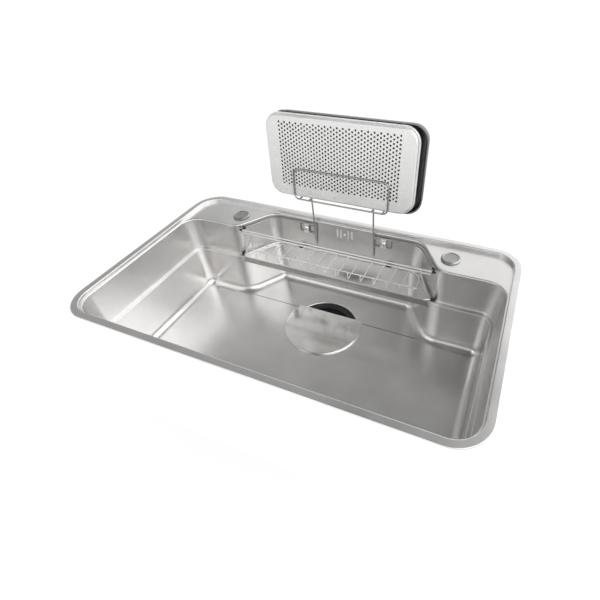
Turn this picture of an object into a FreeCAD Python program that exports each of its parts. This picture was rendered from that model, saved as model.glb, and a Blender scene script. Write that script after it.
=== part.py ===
"""A pressed stainless steel kitchen sink with a rear bay, a lift-out wire rack, a bolted tray holder and a big drain.

Millimetres, +Z up, X along the sink's length, Y to the back. The shapes are drawn about the middle of the rim, with
z = 0 on the rim's top, and are moved at export so that the origin is the middle of the front stretch of the rim's
seat on the worktop.
"""

import FreeCAD, Part
import math
import os

V = FreeCAD.Vector
UP = V(0, 0, 1)
ALONG = V(1, 0, 0)
BACK = V(0, 1, 0)

# Working values
overrun = 4.0
touch_gap = 0.05
round_turn = 45.0
bend_turn = 30.0
outline_turn = 22.5
wire_sides = 8
ring_sides = 24
cap_sides = 16
small_sides = 8
seat_gap = 0.3

# Rim and pressed sheet
rim_length = 850.0
rim_depth = 502.0
rim_corner_radius = 65.0
sheet = 1.2
rim_flat = 15.0
rim_lip_height = 3.2
rim_edge_round = 1.5
rim_step_round = 2.2

# Decks and bowl mouth
deck_drop = 8.0
bowl_margin = 4.0
back_corner_radius = 42.0
mouth_round = 3.0
mouth_land = 0.4

# Bay in the back wall, between the two corner decks
deck_width = 92.0
bay_mouth_half = 262.0
bay_back_half = 201.0
bay_mouth_radius = 40.0
bay_back_radius = 45.0

# Bowl walls, ledge and floor
ledge_depth = 94.0
ledge_width = 10.0
upper_draft = 6.0
lower_draft = 3.0
bowl_depth = 210.0
floor_round = 20.0
floor_land = 1.0

# Seal under the rim
seal_width = 8.0
seal_inset = 2.0
seal_height = 2.6

# Clips that pull the rim down on the worktop
clip_width = 16.0
clip_strap = 2.0
clip_height = 22.0
clip_top = 15.0
clip_reach = 8.4
clip_axis_out = 4.4
screw_radius = 2.0
screw_running_gap = 0.05
screw_length = 50.0
screw_head_radius = 3.9
screw_head_height = 3.0
jaw_length = 30.0
jaw_heel = 4.1
jaw_width = 8.2
jaw_thickness = 2.0
jaw_tip_height = 7.0
clip_front_x = 200.0
clip_back_x = 150.0
clip_side_y = 60.0

# Sound pads under the floor
pad_thickness = 3.0
pad_length = 150.0
pad_width = 210.0
pad_x = 225.0
pad_y = 40.0

# Drain well and drain
drain_back = 74.0
well_radius = 84.0
well_depth = 12.0
well_round = 3.0
seat_hole_radius = 72.0
gasket_height = 2.0
gasket_lip = 9.0
under_gasket_height = 3.0
flange_height = 4.0
flange_gap = 0.6
body_gap = 0.5
body_wall = 3.0
body_depth = 92.0
body_cone = 14.0
strainer_ledge_depth = 8.0
strainer_ledge = 4.5
nut_height = 14.0
nut_width = 15.0
nut_lug_count = 6
nut_lug = 6.0
tail_radius = 25.0
tail_wall = 3.5
tail_length = 42.0
inlet_radius = 10.0
inlet_wall = 2.0
inlet_reach = 22.0
inlet_depth = 40.0

# Strainer basket
strainer_rim_height = 3.0
strainer_wall = 2.0
strainer_depth = 58.0
strainer_taper = 6.0
strainer_sides = 24
strainer_slot_count = 12
strainer_slot_width = 5.0
strainer_slot_height = 30.0
strainer_hole_count = 6
strainer_hole_radius = 6.0
grip_radius = 7.0
grip_waist = 4.5
grip_below_floor = 4.0
grip_knob_height = 9.0

# Drain cover: a disc with a segment cut away at the back
cover_radius = 98.0
cover_chord = 43.0
cover_thickness = 1.5
cover_edge_drop = 2.5
cover_edge_round = 1.2
cover_foot_radius = 5.0
cover_foot_ring = 90.0
cover_foot_angles = (200.0, 270.0, 340.0)

# Overflow
slot_width = 5.0
slot_height = 26.0
slot_pitch = 10.0
slot_middle_depth = 33.0
overflow_length = 62.0
overflow_height = 38.0
overflow_box_depth = 8.0
overflow_wall = 1.6
overflow_border = 4.0
overflow_seal = 1.0
overflow_screw_radius = 2.0
overflow_screw_head = 4.0
overflow_screw_head_height = 1.6
duct_width = 24.0
duct_thickness = 7.0
spout_radius = 9.0
spout_below_ledge = 9.0
spout_overlap = 7.0
spout_length = 34.0

# Covers on the two tap holes
tap_hole_x = 276.0
tap_hole_back = 188.0
tap_hole_radius = 17.5
cap_radius = 21.5
cap_height = 4.0
cap_bevel = 3.0
cap_dish = 1.2
cap_seal_height = 0.8
cap_stud_radius = 4.0
cap_stud_length = 26.0
cap_spigot_radius = 16.8
cap_spigot_wall = 1.5
cap_spigot_height = 3.0
cap_washer_radius = 24.0
cap_washer_height = 2.5
cap_nut_radius = 9.0
cap_nut_height = 7.0

# Tray holder: bent wire, bolted to the bay's back wall
holder_wire = 2.0
leg_x = 80.0
leg_inset = 7.2
leg_foot_depth = 75.0
hoop_inset = 5.0
hoop_depth = 18.0
hoop_past_bend = 6.0
eye_reach = 45.0
eye_height = 22.0
eye_wire = 1.75
eye_bend = 4.0
eye_jog = 8.0
bolt_x = 106.0
bolt_depth = 33.0
bolt_radius = 2.5
bolt_hole_radius = 2.8
bolt_head_radius = 6.5
bolt_head_height = 3.6
bolt_head_rim = 1.4
bolt_crown_share = 0.6
clamp_width = 15.0
clamp_height = 25.0
clamp_thickness = 1.2
bolt_washer_radius = 7.0
bolt_washer_height = 1.0
bolt_nut_radius = 4.6
bolt_nut_height = 4.0
bolt_tail = 1.0
tip_wall = 0.9
tip_length = 8.0

# The holder's cradle, and the tray and pan that stand in it, lean back together
lean_degrees = 6.5
cradle_front = 213.0
cradle_base = 62.0
cradle_half = 118.0
cradle_height = 70.0
cradle_bend = 12.0
loop_gap = 0.4
tray_length = 360.0
tray_height = 188.0
tray_depth = 12.0
tray_corner = 34.0
tray_sheet = 1.0
tray_round = 4.0
tray_lip = 3.0
tray_left_of_middle = 5.0
field_length = 282.0
field_height = 138.0
field_bottom = 32.0
hole_pitch = 35.25
hole_radius = 8.5
pan_gap = 3.0
pan_depth = 26.0
pan_right_of_middle = 8.0
pan_margin = 4.0
pan_round = 8.0

# Lift-out rack on the ledge
ring_wire = 2.25
ring_inset = 13.5
ring_front_bend = 10.0
foot_radius = 3.5
foot_length = 9.0
foot_end_inset = 9.0
rear_foot_in_from_corner = 77.0
rear_foot_length = 14.0
grid_wire = 1.5
grid_count = 14
grid_end_clearance = 50.75
rim_wire_depth = 68.0
upright_back = 4.0
post_clearance = 42.0
leg_share = 0.3
rail_tip_clearance = 1.3
rail_depth = 18.0
rail_end_clearance = 8.0
lower_rail_depth = 26.0
lower_rail_end_clearance = 18.0
apron_height = 16.0
apron_thickness = 1.5
apron_end_clearance = 16.0
apron_flare = 6.0

# What follows from them
half_length = rim_length / 2
half_depth = rim_depth / 2
step_x = half_length - rim_flat
step_y = half_depth - rim_flat
mouth_x = step_x - bowl_margin
mouth_y = step_y - bowl_margin
deck_front_y = mouth_y - deck_width
post_x = bay_mouth_half - post_clearance
rail_half = bay_mouth_half - rail_end_clearance
lower_rail_half = bay_mouth_half - lower_rail_end_clearance
apron_half = bay_mouth_half - apron_end_clearance
grid_half = bay_mouth_half - grid_end_clearance
grid_pitch = 2 * grid_half / (grid_count - 1)
rear_foot_x = bay_back_half - rear_foot_in_from_corner
step_corner_radius = rim_corner_radius - rim_flat
front_corner_radius = step_corner_radius - bowl_margin
seat_depth = sheet + seal_height
seat_y = half_depth - seal_inset - seal_width / 2
seat_inner_y = half_depth - seal_inset - seal_width
row_origin = V(0, -seat_y, -seat_depth)
drain_centre = V(0, drain_back, 0)

seat_top = -bowl_depth - well_depth
seat_under = seat_top - sheet
flange_radius = well_radius - flange_gap
barrel_radius = seat_hole_radius - body_gap
barrel_bore = barrel_radius - body_wall
ledge_bore = barrel_bore - strainer_ledge
flange_under = seat_top + gasket_height
flange_top = flange_under + flange_height
strainer_seat = flange_top - strainer_ledge_depth
body_floor = flange_top - body_depth
nut_top = seat_under - under_gasket_height

rim_corners = (
    (half_length, -half_depth, rim_corner_radius),
    (half_length, half_depth, rim_corner_radius),
    (-half_length, half_depth, rim_corner_radius),
    (-half_length, -half_depth, rim_corner_radius),
)
step_corners = (
    (step_x, -step_y, step_corner_radius),
    (step_x, step_y, step_corner_radius),
    (-step_x, step_y, step_corner_radius),
    (-step_x, -step_y, step_corner_radius),
)
bowl_corners = (
    (mouth_x, -mouth_y, front_corner_radius),
    (mouth_x, deck_front_y, back_corner_radius),
    (bay_mouth_half, deck_front_y, bay_mouth_radius),
    (bay_back_half, mouth_y, bay_back_radius),
    (-bay_back_half, mouth_y, bay_back_radius),
    (-bay_mouth_half, deck_front_y, bay_mouth_radius),
    (-mouth_x, deck_front_y, back_corner_radius),
    (-mouth_x, -mouth_y, front_corner_radius),
)


def unit(vector):
    return vector / vector.Length


def inset_corners(corners, inset):
    """The corners of the outline moved inwards; outer corners tighten and inner ones widen, so arcs stay concentric."""
    moved = []
    count = len(corners)
    for i, (x, y, radius) in enumerate(corners):
        before = corners[i - 1]
        after = corners[(i + 1) % count]
        u = unit(V(x - before[0], y - before[1], 0))
        v = unit(V(after[0] - x, after[1] - y, 0))
        left_u = V(-u.y, u.x, 0)
        left_v = V(-v.y, v.x, 0)
        shift = (left_u + left_v) * (inset / (1 + left_u.dot(left_v)))
        turns_left = u.cross(v).z > 0
        moved.append((x + shift.x, y + shift.y, radius - inset if turns_left else radius + inset))
    return moved


def corner_arc(before, corner, after, radius):
    """Start, middle and end of the arc that rounds a corner."""
    u = unit(corner - before)
    v = unit(after - corner)
    half_turn = math.acos(max(-1.0, min(1.0, u.dot(v)))) / 2
    run = radius * math.tan(half_turn)
    sag = radius / math.cos(half_turn) - radius
    return corner - u * run, corner + unit(v - u) * sag, corner + v * run


def bent(points, bends, chord_turn):
    """The path's points with each bend of the given radius in chords; a radius of 0 keeps its corner."""
    path = [points[0]]
    for i, radius in enumerate(bends, 1):
        if not radius:
            path.append(points[i])
            continue
        start, middle, end = corner_arc(points[i - 1], points[i], points[i + 1], radius)
        centre = middle + unit(middle - points[i]) * radius
        turn = (start - centre).getAngle(end - centre)
        steps = max(1, round(math.degrees(turn) / chord_turn))
        for step in range(steps + 1):
            from_start = math.sin((1 - step / steps) * turn) / math.sin(turn)
            from_end = math.sin(step / steps * turn) / math.sin(turn)
            path.append(centre + (start - centre) * from_start + (end - centre) * from_end)
    return path + [points[-1]]


def closed_path(points, bends, chord_turn):
    """A closed run of points that starts and ends in the middle of its last side."""
    middle = (points[-1] + points[0]) / 2
    return bent([middle] + list(points) + [middle], bends, chord_turn)


def swept_along(path, section):
    """A solid with the closed run of points as its section, mitred where the path turns."""
    sweep = Part.BRepOffsetAPI.MakePipeShell(Part.makePolygon(path))
    sweep.setTransitionMode(1)
    sweep.add(Part.makePolygon(section + section[:1]))
    sweep.build()
    sweep.makeSolid()
    return sweep.shape()


def outline_path(corners, inset, z):
    """The outline's points, its round corners in short chords, moved inwards by inset."""
    moved = inset_corners(corners, inset)
    return closed_path([V(x, y, z) for x, y, _ in moved], [radius for _, _, radius in moved], outline_turn)


def plate(corners, inset, low, high):
    """A flat plate with the outline moved inwards by inset."""
    return Part.Face(Part.makePolygon(outline_path(corners, inset, low))).extrude(UP * (high - low))


def rounded(section):
    """The (x, z) points of a closed section of (x, z, rounding) points, each rounding in a few chords."""
    points = [V(x, z, 0) for x, z, _ in section]
    return [(p.x, p.y) for p in closed_path(points, [rounding for _, _, rounding in section], round_turn)[1:-1]]


def swept(corners, section):
    """A cross-section of (inset, z) points carried round the outline."""
    path = outline_path(corners, 0, 0)
    inwards = UP.cross(unit(path[1] - path[0]))
    return swept_along(path, [path[0] + inwards * inset + UP * z for inset, z in section])


def sheet_section(inner, thickness):
    """A closed section from a wall's inner line of (inset, z, rounding) points, its outer side one thickness away."""
    outer = []
    for i, (x, z, rounding) in enumerate(inner):
        sides = []
        for a, b in ((i - 1, i), (i, i + 1)):
            if 0 <= a and b < len(inner):
                dx = inner[b][0] - inner[a][0]
                dz = inner[b][1] - inner[a][1]
                sides.append((dx / math.hypot(dx, dz), dz / math.hypot(dx, dz)))
        nx = sum(dz for _, dz in sides)
        nz = -sum(dx for dx, _ in sides)
        scale = thickness * len(sides) / (nx * nx + nz * nz)
        turns_in = len(sides) == 2 and sides[0][0] * sides[1][1] < sides[0][1] * sides[1][0]
        round_out = max(rounding - thickness, 0) if turns_in else rounding + thickness
        outer.append((x + nx * scale, z + nz * scale, round_out if rounding else 0))
    return rounded(list(inner) + outer[::-1])


def polygon_round(centre, normal, radius, sides):
    """Corners of a polygon round the centre, its flats at the radius and one of them level."""
    across = BACK if unit(normal).isEqual(UP, 0.5) or unit(normal).isEqual(-UP, 0.5) else UP
    side = unit(normal.cross(across))
    rise = unit(side.cross(normal))
    reach = radius / math.cos(math.pi / sides)
    turns = [2 * math.pi * (k + 0.5) / sides for k in range(sides)]
    return [centre + side * (reach * math.cos(turn)) + rise * (reach * math.sin(turn)) for turn in turns]


def rod(points, radius, bend=0, closed=False):
    """A wire along the points, eight-sided, mitred along its bends; bend is one radius or a list of them."""
    bends = list(bend) if isinstance(bend, (list, tuple)) else [bend] * (len(points) if closed else len(points) - 2)
    path = closed_path(points, bends, bend_turn) if closed else bent(points, bends, bend_turn)
    return swept_along(path, polygon_round(path[0], path[1] - path[0], radius, wire_sides))


def many_sided(points, centre, sides):
    """A body round the vertical through centre with flat sides, from (radius to its flats, z) points."""
    reach = 1 / math.cos(math.pi / sides)
    steps = [2 * math.pi * (k + 0.5) / sides for k in range(sides)]
    rings = [[centre + V(r * reach * math.cos(step), r * reach * math.sin(step), z) for step in steps]
             for r, z in points]
    faces = [Part.Face(Part.makePolygon(rings[i] + rings[i][:1])) for i in (0, -1)]
    for low, high in zip(rings, rings[1:]):
        for k in range(sides):
            corners = [low[k - 1], low[k], high[k], high[k - 1]]
            faces.append(Part.Face(Part.makePolygon(corners + corners[:1])))
    return Part.Solid(Part.Shell(faces))


def welded(shapes):
    """One solid out of wires that cross or meet."""
    return shapes[0].multiFuse(shapes[1:])


def tube(start, end, outer, inner):
    """A soft eight-sided sleeve from start to end."""
    rounds = [polygon_round(start, end - start, radius, wire_sides) for radius in (outer, inner)]
    faces = [Part.Face(Part.makePolygon(points + points[:1])) for points in rounds]
    return faces[0].cut(faces[1]).extrude(end - start)


def sleeve(end, towards, wire, wall, length):
    """A soft cap over a wire's end."""
    lip = end + towards * touch_gap
    side = tube(end - towards * length, lip, wire + wall, wire + touch_gap)
    cap = polygon_round(lip, towards, wire + wall, wire_sides)
    return side.fuse(Part.Face(Part.makePolygon(cap + cap[:1])).extrude(towards * wall)).removeSplitter()


def ring(centre, inner, outer, low, high, sides):
    """A flat ring with many sides."""
    disc = many_sided([(outer, low), (outer, high)], centre, sides)
    return disc.cut(many_sided([(inner, low - overrun), (inner, high + overrun)], centre, sides))


def block(low, high):
    size = high - low
    return Part.makeBox(size.x, size.y, size.z, low)


def export(node, *shapes):
    """Write one sub-part, moved to the row's origin."""
    solids = [solid for shape in shapes for solid in shape.Solids]
    shape = Part.makeCompound(solids) if len(solids) > 1 else solids[0]
    shape.translate(-row_origin)
    shape.exportStep(os.path.join("parts", node + ".step"))


def mirrored(shape):
    return shape.mirror(V(0, 0, 0), ALONG)


# The upper wall's draft starts where the mouth's rounding ends
upper_wall_slope = upper_draft / (ledge_depth - deck_drop - mouth_round)
ledge_inner = upper_draft + ledge_width
wall_rise = unit(V(0, upper_wall_slope, 1))


def wall_inset(depth):
    """How far the upper wall's inner face stands in from the deck's edge at a depth below the rim."""
    return upper_wall_slope * (depth - deck_drop - mouth_round)


def sink_bowl():
    """The pressed sheet: flat rim with a turned-down lip, step, corner decks, bay, ledge, floor and drain well."""
    rim = sheet_section([(rim_flat, -deck_drop, 0), (rim_flat, 0, rim_step_round), (0, 0, rim_edge_round),
                         (0, -rim_lip_height, 0)], -sheet)
    deck_edge = -mouth_round - mouth_land
    floor_edge = ledge_inner + lower_draft + floor_round + floor_land
    wall = sheet_section([(deck_edge, -deck_drop, 0), (wall_inset(deck_drop), -deck_drop, mouth_round),
                          (upper_draft, -ledge_depth, 0), (ledge_inner, -ledge_depth, 0),
                          (ledge_inner + lower_draft, -bowl_depth, floor_round), (floor_edge, -bowl_depth, 0)], sheet)
    deck = plate(step_corners, -sheet, -deck_drop - sheet, -deck_drop)
    deck = deck.cut(plate(bowl_corners, deck_edge, -deck_drop - overrun, overrun - deck_drop))
    floor = plate(bowl_corners, floor_edge, -bowl_depth - sheet, -bowl_depth)
    well_top = well_radius + well_round
    well = many_sided([(well_radius + sheet, seat_under), (well_radius + sheet, -bowl_depth - sheet - well_round),
                       (well_top + sheet, -bowl_depth - sheet), (well_top + sheet, -bowl_depth)], drain_centre,
                      ring_sides)
    hollow = many_sided([(well_radius, seat_top), (well_radius, -bowl_depth - well_round), (well_top, -bowl_depth),
                         (well_top, overrun - bowl_depth)], drain_centre, ring_sides)
    seat_hole = many_sided([(seat_hole_radius, seat_under - overrun), (seat_hole_radius, overrun)], drain_centre,
                           ring_sides)
    body = swept(rim_corners, rim).multiFuse([deck, swept(bowl_corners, wall), floor, well]).cut([hollow, seat_hole])
    cuts = []
    for side in (-1, 1):
        cuts.append(many_sided([(tap_hole_radius, -deck_drop - overrun), (tap_hole_radius, overrun - deck_drop)],
                               V(side * tap_hole_x, tap_hole_back, 0), cap_sides))
        cuts.append(wall_round(side * bolt_x, bolt_depth, bolt_hole_radius, -overrun, overrun))
    for share in (-2, -1, 1, 2):
        cuts.append(overflow_slot(share * slot_pitch))
    cuts.append(wall_round(0, slot_middle_depth, overflow_screw_radius + seat_gap, -overrun, overrun))
    return body.cut(cuts).removeSplitter()


def wall_frame(x, depth):
    """The place on the back wall's inner face at (x, depth): its middle, and the direction out through the wall."""
    out = unit(V(0, 1, -upper_wall_slope))
    return V(x, mouth_y - wall_inset(depth), -depth), out


def wall_round(x, depth, radius, start, end):
    """A small many-sided pin square to the back wall, from start to end measured outwards from its inner face."""
    middle, out = wall_frame(x, depth)
    points = polygon_round(middle + out * start, out, radius, small_sides)
    return Part.Face(Part.makePolygon(points + points[:1])).extrude(out * (end - start))


def wall_block(x, depth, length, height, start, end):
    """A plate lying on the back wall, from start to end measured outwards from its inner face."""
    middle, out = wall_frame(x, depth)
    low = middle + out * start
    points = [low + ALONG * (sx * length / 2) + wall_rise * (sz * height / 2)
              for sx, sz in ((-1, -1), (1, -1), (1, 1), (-1, 1))]
    return Part.Face(Part.makePolygon(points + points[:1])).extrude(out * (end - start))


def overflow_slot(x):
    """A round-ended slot through the back wall."""
    straight = wall_block(x, slot_middle_depth, slot_width, slot_height - slot_width, -overrun, overrun)
    ends = []
    for side in (-1, 1):
        end = wall_round(x, slot_middle_depth, slot_width / 2, -overrun, overrun)
        end.translate(wall_rise * (side * (slot_height - slot_width) / 2))
        ends.append(end)
    return straight.multiFuse(ends)


def rim_seal():
    """A soft strip stuck under the rim all the way round."""
    return swept(rim_corners, [(seal_inset, -seat_depth), (seal_inset + seal_width, -seat_depth),
                               (seal_inset + seal_width, -sheet), (seal_inset, -sheet)]).removeSplitter()


def wall_outer(depth):
    """How far the wall's outer face stands out from the deck's edge at a depth below the rim."""
    return sheet * math.hypot(1, upper_wall_slope) - wall_inset(depth)


def placed(shape, x, y, degrees):
    """Turn a piece drawn with its outward side along +X about the vertical, and set it at a place on the wall."""
    shape.rotate(V(0, 0, 0), UP, degrees)
    shape.translate(V(x, y, 0))
    return shape


clip_places = {
    "clip_front_left": (-clip_front_x, -mouth_y, -90),
    "clip_front_right": (clip_front_x, -mouth_y, -90),
    "clip_left": (-mouth_x, -clip_side_y, 180),
    "clip_right": (mouth_x, -clip_side_y, 0),
    "clip_back_left": (-clip_back_x, mouth_y, 90),
    "clip_back_right": (clip_back_x, mouth_y, 90),
}


def clip_bracket():
    """An angle welded to the outside of the wall, with a hole for the clip's screw."""
    low = clip_top + clip_height
    back = [V(wall_outer(clip_top), 0, -clip_top), V(clip_reach, 0, -clip_top),
            V(clip_reach, 0, -clip_top - clip_strap),
            V(wall_outer(clip_top + clip_strap) + clip_strap, 0, -clip_top - clip_strap),
            V(wall_outer(low) + clip_strap, 0, -low), V(wall_outer(low), 0, -low)]
    angle = Part.Face(Part.makePolygon(back + back[:1])).extrude(BACK * clip_width)
    angle.translate(BACK * (-clip_width / 2))
    hole = many_sided([(screw_radius + screw_running_gap, -low), (screw_radius + screw_running_gap, 0)],
                      V(clip_axis_out, 0, 0), wire_sides)
    return angle.cut(hole)


def clip_jaw_and_screw():
    """The screw hangs from the bracket and carries the jaw, which lies along the wall until it is swung out."""
    head_top = -clip_top - screw_length + overrun
    screw = Part.makeCylinder(screw_radius, screw_length, V(clip_axis_out, 0, head_top))
    head = many_sided([(screw_head_radius, head_top - screw_head_height), (screw_head_radius, head_top)],
                      V(clip_axis_out, 0, 0), 6)
    screw = screw.fuse(head)
    left = clip_axis_out - jaw_width / 2
    jaw = block(V(left, -jaw_heel, head_top), V(left + jaw_width, jaw_length - jaw_heel, head_top + jaw_thickness))
    tip = block(V(left, jaw_length - jaw_heel - jaw_thickness, head_top),
                V(left + jaw_width, jaw_length - jaw_heel, head_top + jaw_tip_height))
    hole = many_sided([(screw_radius + seat_gap, head_top - overrun),
                       (screw_radius + seat_gap, head_top + overrun)], V(clip_axis_out, 0, 0), wire_sides)
    return [jaw.fuse(tip).cut(hole).removeSplitter(), screw]


def sound_pads():
    """Flat rubber pads stuck under the floor, one each side of the drain."""
    top = -bowl_depth - sheet
    pads = []
    for side in (-1, 1):
        middle = V(side * pad_x, -pad_y, top)
        half = V(pad_length / 2, pad_width / 2, 0)
        pads.append(block(middle - half - UP * pad_thickness, middle + half))
    return pads


def drain_gasket():
    """Soft ring between the well's seat and the drain's flange."""
    return ring(drain_centre, barrel_radius + touch_gap, barrel_radius + gasket_lip, seat_top, flange_under,
                ring_sides)


def drain_body():
    """Moulded drain: flange, barrel with a ledge for the strainer, coned bottom, tail and overflow inlet."""
    tail_bore = tail_radius - tail_wall
    cone_low = body_floor - body_cone
    body = many_sided([(tail_radius + touch_gap, cone_low), (barrel_radius, body_floor), (barrel_radius, flange_under),
                       (flange_radius, flange_under), (flange_radius, flange_top)], drain_centre, ring_sides)
    tail = Part.makeCylinder(tail_radius, tail_length + overrun, drain_centre + UP * (cone_low - tail_length))
    inlet_z = flange_top - inlet_depth
    start = drain_centre + V(0, ledge_bore, inlet_z)
    inlet = Part.makeCylinder(inlet_radius, barrel_radius + inlet_reach - ledge_bore, start, BACK)
    hollow = many_sided([(tail_bore, cone_low + body_wall), (ledge_bore, body_floor + body_wall),
                         (ledge_bore, strainer_seat), (barrel_bore, strainer_seat), (barrel_bore, flange_top + overrun)],
                        drain_centre, ring_sides)
    tail_hollow = Part.makeCylinder(tail_bore, tail_length + body_cone, drain_centre + UP * (cone_low - tail_length))
    bore = Part.makeCylinder(inlet_radius - inlet_wall, inlet_reach + barrel_radius, start - BACK * overrun, BACK)
    return body.multiFuse([tail, inlet]).cut([hollow, tail_hollow, bore])


def drain_under_gasket():
    """Soft ring between the well and the nut below it."""
    return ring(drain_centre, barrel_radius + touch_gap, barrel_radius + nut_width, nut_top, seat_under, ring_sides)


def drain_nut():
    """Ring nut that clamps the drain to the well from below, with lugs to turn it by."""
    radius = barrel_radius + nut_width
    body = ring(drain_centre, barrel_radius + touch_gap, radius, nut_top - nut_height, nut_top, ring_sides)
    lugs = []
    for i in range(nut_lug_count):
        lug = block(drain_centre + V(radius - overrun, -nut_lug / 2, nut_top - nut_height),
                    drain_centre + V(radius + nut_lug, nut_lug / 2, nut_top))
        lug.rotate(drain_centre, UP, 360 * (i + 0.5) / nut_lug_count)
        lugs.append(lug)
    return body.multiFuse(lugs).removeSplitter()


def strainer():
    """Slotted basket with many flat sides that drops into the drain, with a knob to lift it by."""
    rim = barrel_bore - seat_gap
    top = strainer_seat + strainer_rim_height
    wall = ledge_bore - seat_gap
    foot = wall - strainer_taper
    bottom = strainer_seat - strainer_depth
    floor = bottom + strainer_wall
    knob_top = -bowl_depth - grip_below_floor
    basket = many_sided([(foot, bottom), (wall, strainer_seat), (rim, strainer_seat), (rim, top)],
                        drain_centre, strainer_sides)
    hollow = many_sided([(foot - strainer_wall, floor), (wall - strainer_wall, top + overrun)],
                        drain_centre, strainer_sides)
    knob = many_sided([(grip_waist, floor - strainer_wall / 2), (grip_waist, knob_top - grip_knob_height),
                       (grip_radius, knob_top - grip_knob_height / 2), (grip_radius, knob_top)],
                      drain_centre, wire_sides)
    cuts = []
    slot_low = bottom + (strainer_depth - strainer_slot_height) / 2
    for i in range(strainer_slot_count):
        slot = block(drain_centre + V(foot - 2 * strainer_wall, -strainer_slot_width / 2, slot_low),
                     drain_centre + V(wall + overrun, strainer_slot_width / 2, slot_low + strainer_slot_height))
        slot.rotate(drain_centre, UP, 360 * i / strainer_slot_count)
        cuts.append(slot)
    for i in range(strainer_hole_count):
        hole = many_sided([(strainer_hole_radius, bottom - overrun), (strainer_hole_radius, floor + overrun)],
                          drain_centre + V((foot + grip_waist) / 2, 0, 0), 6)
        hole.rotate(drain_centre, UP, 360 * i / strainer_hole_count)
        cuts.append(hole)
    return basket.cut(hollow).cut(cuts).fuse(knob)


def drain_cover():
    """Polished disc with a turned-down edge, cut straight at the back so that water runs in behind it."""
    edge = seat_gap - bowl_depth
    under = edge + cover_edge_drop
    top = under + cover_thickness
    disc = many_sided([(cover_radius, edge), (cover_radius, top - cover_edge_round),
                       (cover_radius - cover_edge_round, top)], drain_centre, ring_sides)
    room = many_sided([(cover_radius - cover_thickness, edge - overrun), (cover_radius - cover_thickness, under)],
                      drain_centre, ring_sides)
    behind = block(drain_centre + V(-cover_radius - overrun, cover_chord, -bowl_depth - overrun),
                   drain_centre + V(cover_radius + overrun, cover_radius + overrun, top + overrun))
    return disc.cut([room, behind])


def cover_feet():
    """Small rubber pads under the cover's edge."""
    feet = []
    for angle in cover_foot_angles:
        foot = many_sided([(cover_foot_radius, seat_gap - bowl_depth),
                           (cover_foot_radius, seat_gap - bowl_depth + cover_edge_drop)],
                          drain_centre + V(cover_foot_ring, 0, 0), small_sides)
        foot.rotate(drain_centre, UP, angle)
        feet.append(foot)
    return feet


def overflow_gasket():
    """Soft frame between the wall and the overflow box."""
    seal = wall_block(0, slot_middle_depth, overflow_length, overflow_height, sheet, sheet + overflow_seal)
    window = wall_block(0, slot_middle_depth, overflow_length - 2 * overflow_border,
                        overflow_height - 2 * overflow_border, 0, sheet + 2 * overflow_seal)
    return seal.cut(window)


def overflow_box():
    """Flat moulded box behind the slots, with a screw boss, a duct down the wall, and a shoe and spout for the hose."""
    face = sheet + overflow_seal
    back = face + overflow_box_depth
    box = wall_block(0, slot_middle_depth, overflow_length, overflow_height, face, back)
    hollow = wall_block(0, slot_middle_depth, overflow_length - 2 * overflow_border,
                        overflow_height - 2 * overflow_border, face - overrun, back - overflow_wall)
    duct_back = seat_inner_y - seat_gap
    duct_front = duct_back - duct_thickness
    duct_top = -slot_middle_depth - overflow_height / 2 + overflow_border + overrun
    duct_low = -ledge_depth - sheet - spout_below_ledge
    duct = block(V(-duct_width / 2, duct_front, duct_low), V(duct_width / 2, duct_back, duct_top))
    duct_hollow = block(V(overflow_wall - duct_width / 2, duct_front + overflow_wall, duct_low + overflow_wall),
                        V(duct_width / 2 - overflow_wall, duct_back - overflow_wall, duct_top + overrun))
    spout_y = duct_back - spout_radius
    spout_top = V(0, spout_y, duct_low + spout_overlap)
    shoe = block(V(-duct_width / 2, spout_y - spout_radius - overflow_wall, duct_low),
                 V(duct_width / 2, duct_back, spout_top.z))
    spout = Part.makeCylinder(spout_radius, spout_length, spout_top, -UP)
    bore = Part.makeCylinder(spout_radius - overflow_wall, spout_length, spout_top - UP * overflow_wall, -UP)
    boss = wall_round(0, slot_middle_depth, overflow_screw_head, face, back)
    screw_bore = wall_round(0, slot_middle_depth, overflow_screw_radius + touch_gap, 0, back + overrun)
    shape = box.multiFuse([duct, shoe, spout]).cut([hollow, duct_hollow, bore])
    return shape.fuse(boss).cut(screw_bore)


def overflow_screw():
    """Low-headed screw in the middle of the slots."""
    shank = wall_round(0, slot_middle_depth, overflow_screw_radius, 0, sheet + overflow_seal + overflow_box_depth)
    head = wall_round(0, slot_middle_depth, overflow_screw_head, -overflow_screw_head_height, 0)
    return shank.fuse(head)


def tap_hole_cap():
    """Bevelled cover with a dished top, a spigot that centres it in the hole, and a threaded stud."""
    base = cap_seal_height - deck_drop
    top = base + cap_height
    rim = cap_radius - cap_bevel
    centre = V(tap_hole_x, tap_hole_back, 0)
    cover = many_sided([(cap_spigot_radius, base - cap_spigot_height), (cap_spigot_radius, base), (cap_radius, base),
                        (cap_radius, (base + top) / 2), (rim, top)], centre, cap_sides)
    dish = many_sided([(rim - cap_dish, top - cap_dish), (rim, top + touch_gap)], centre, cap_sides)
    spigot_bore = cap_spigot_radius - cap_spigot_wall
    room = many_sided([(spigot_bore, base - cap_spigot_height - overrun), (spigot_bore, base)], centre, cap_sides)
    stud = many_sided([(cap_stud_radius, base - cap_stud_length), (cap_stud_radius, top - cap_dish)], centre,
                      small_sides)
    return cover.cut([dish, room]).fuse(stud)


def cap_seal():
    """Flat ring under the cover."""
    return ring(V(tap_hole_x, tap_hole_back, 0), tap_hole_radius, cap_radius - cap_dish, -deck_drop,
                cap_seal_height - deck_drop, cap_sides)


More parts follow.
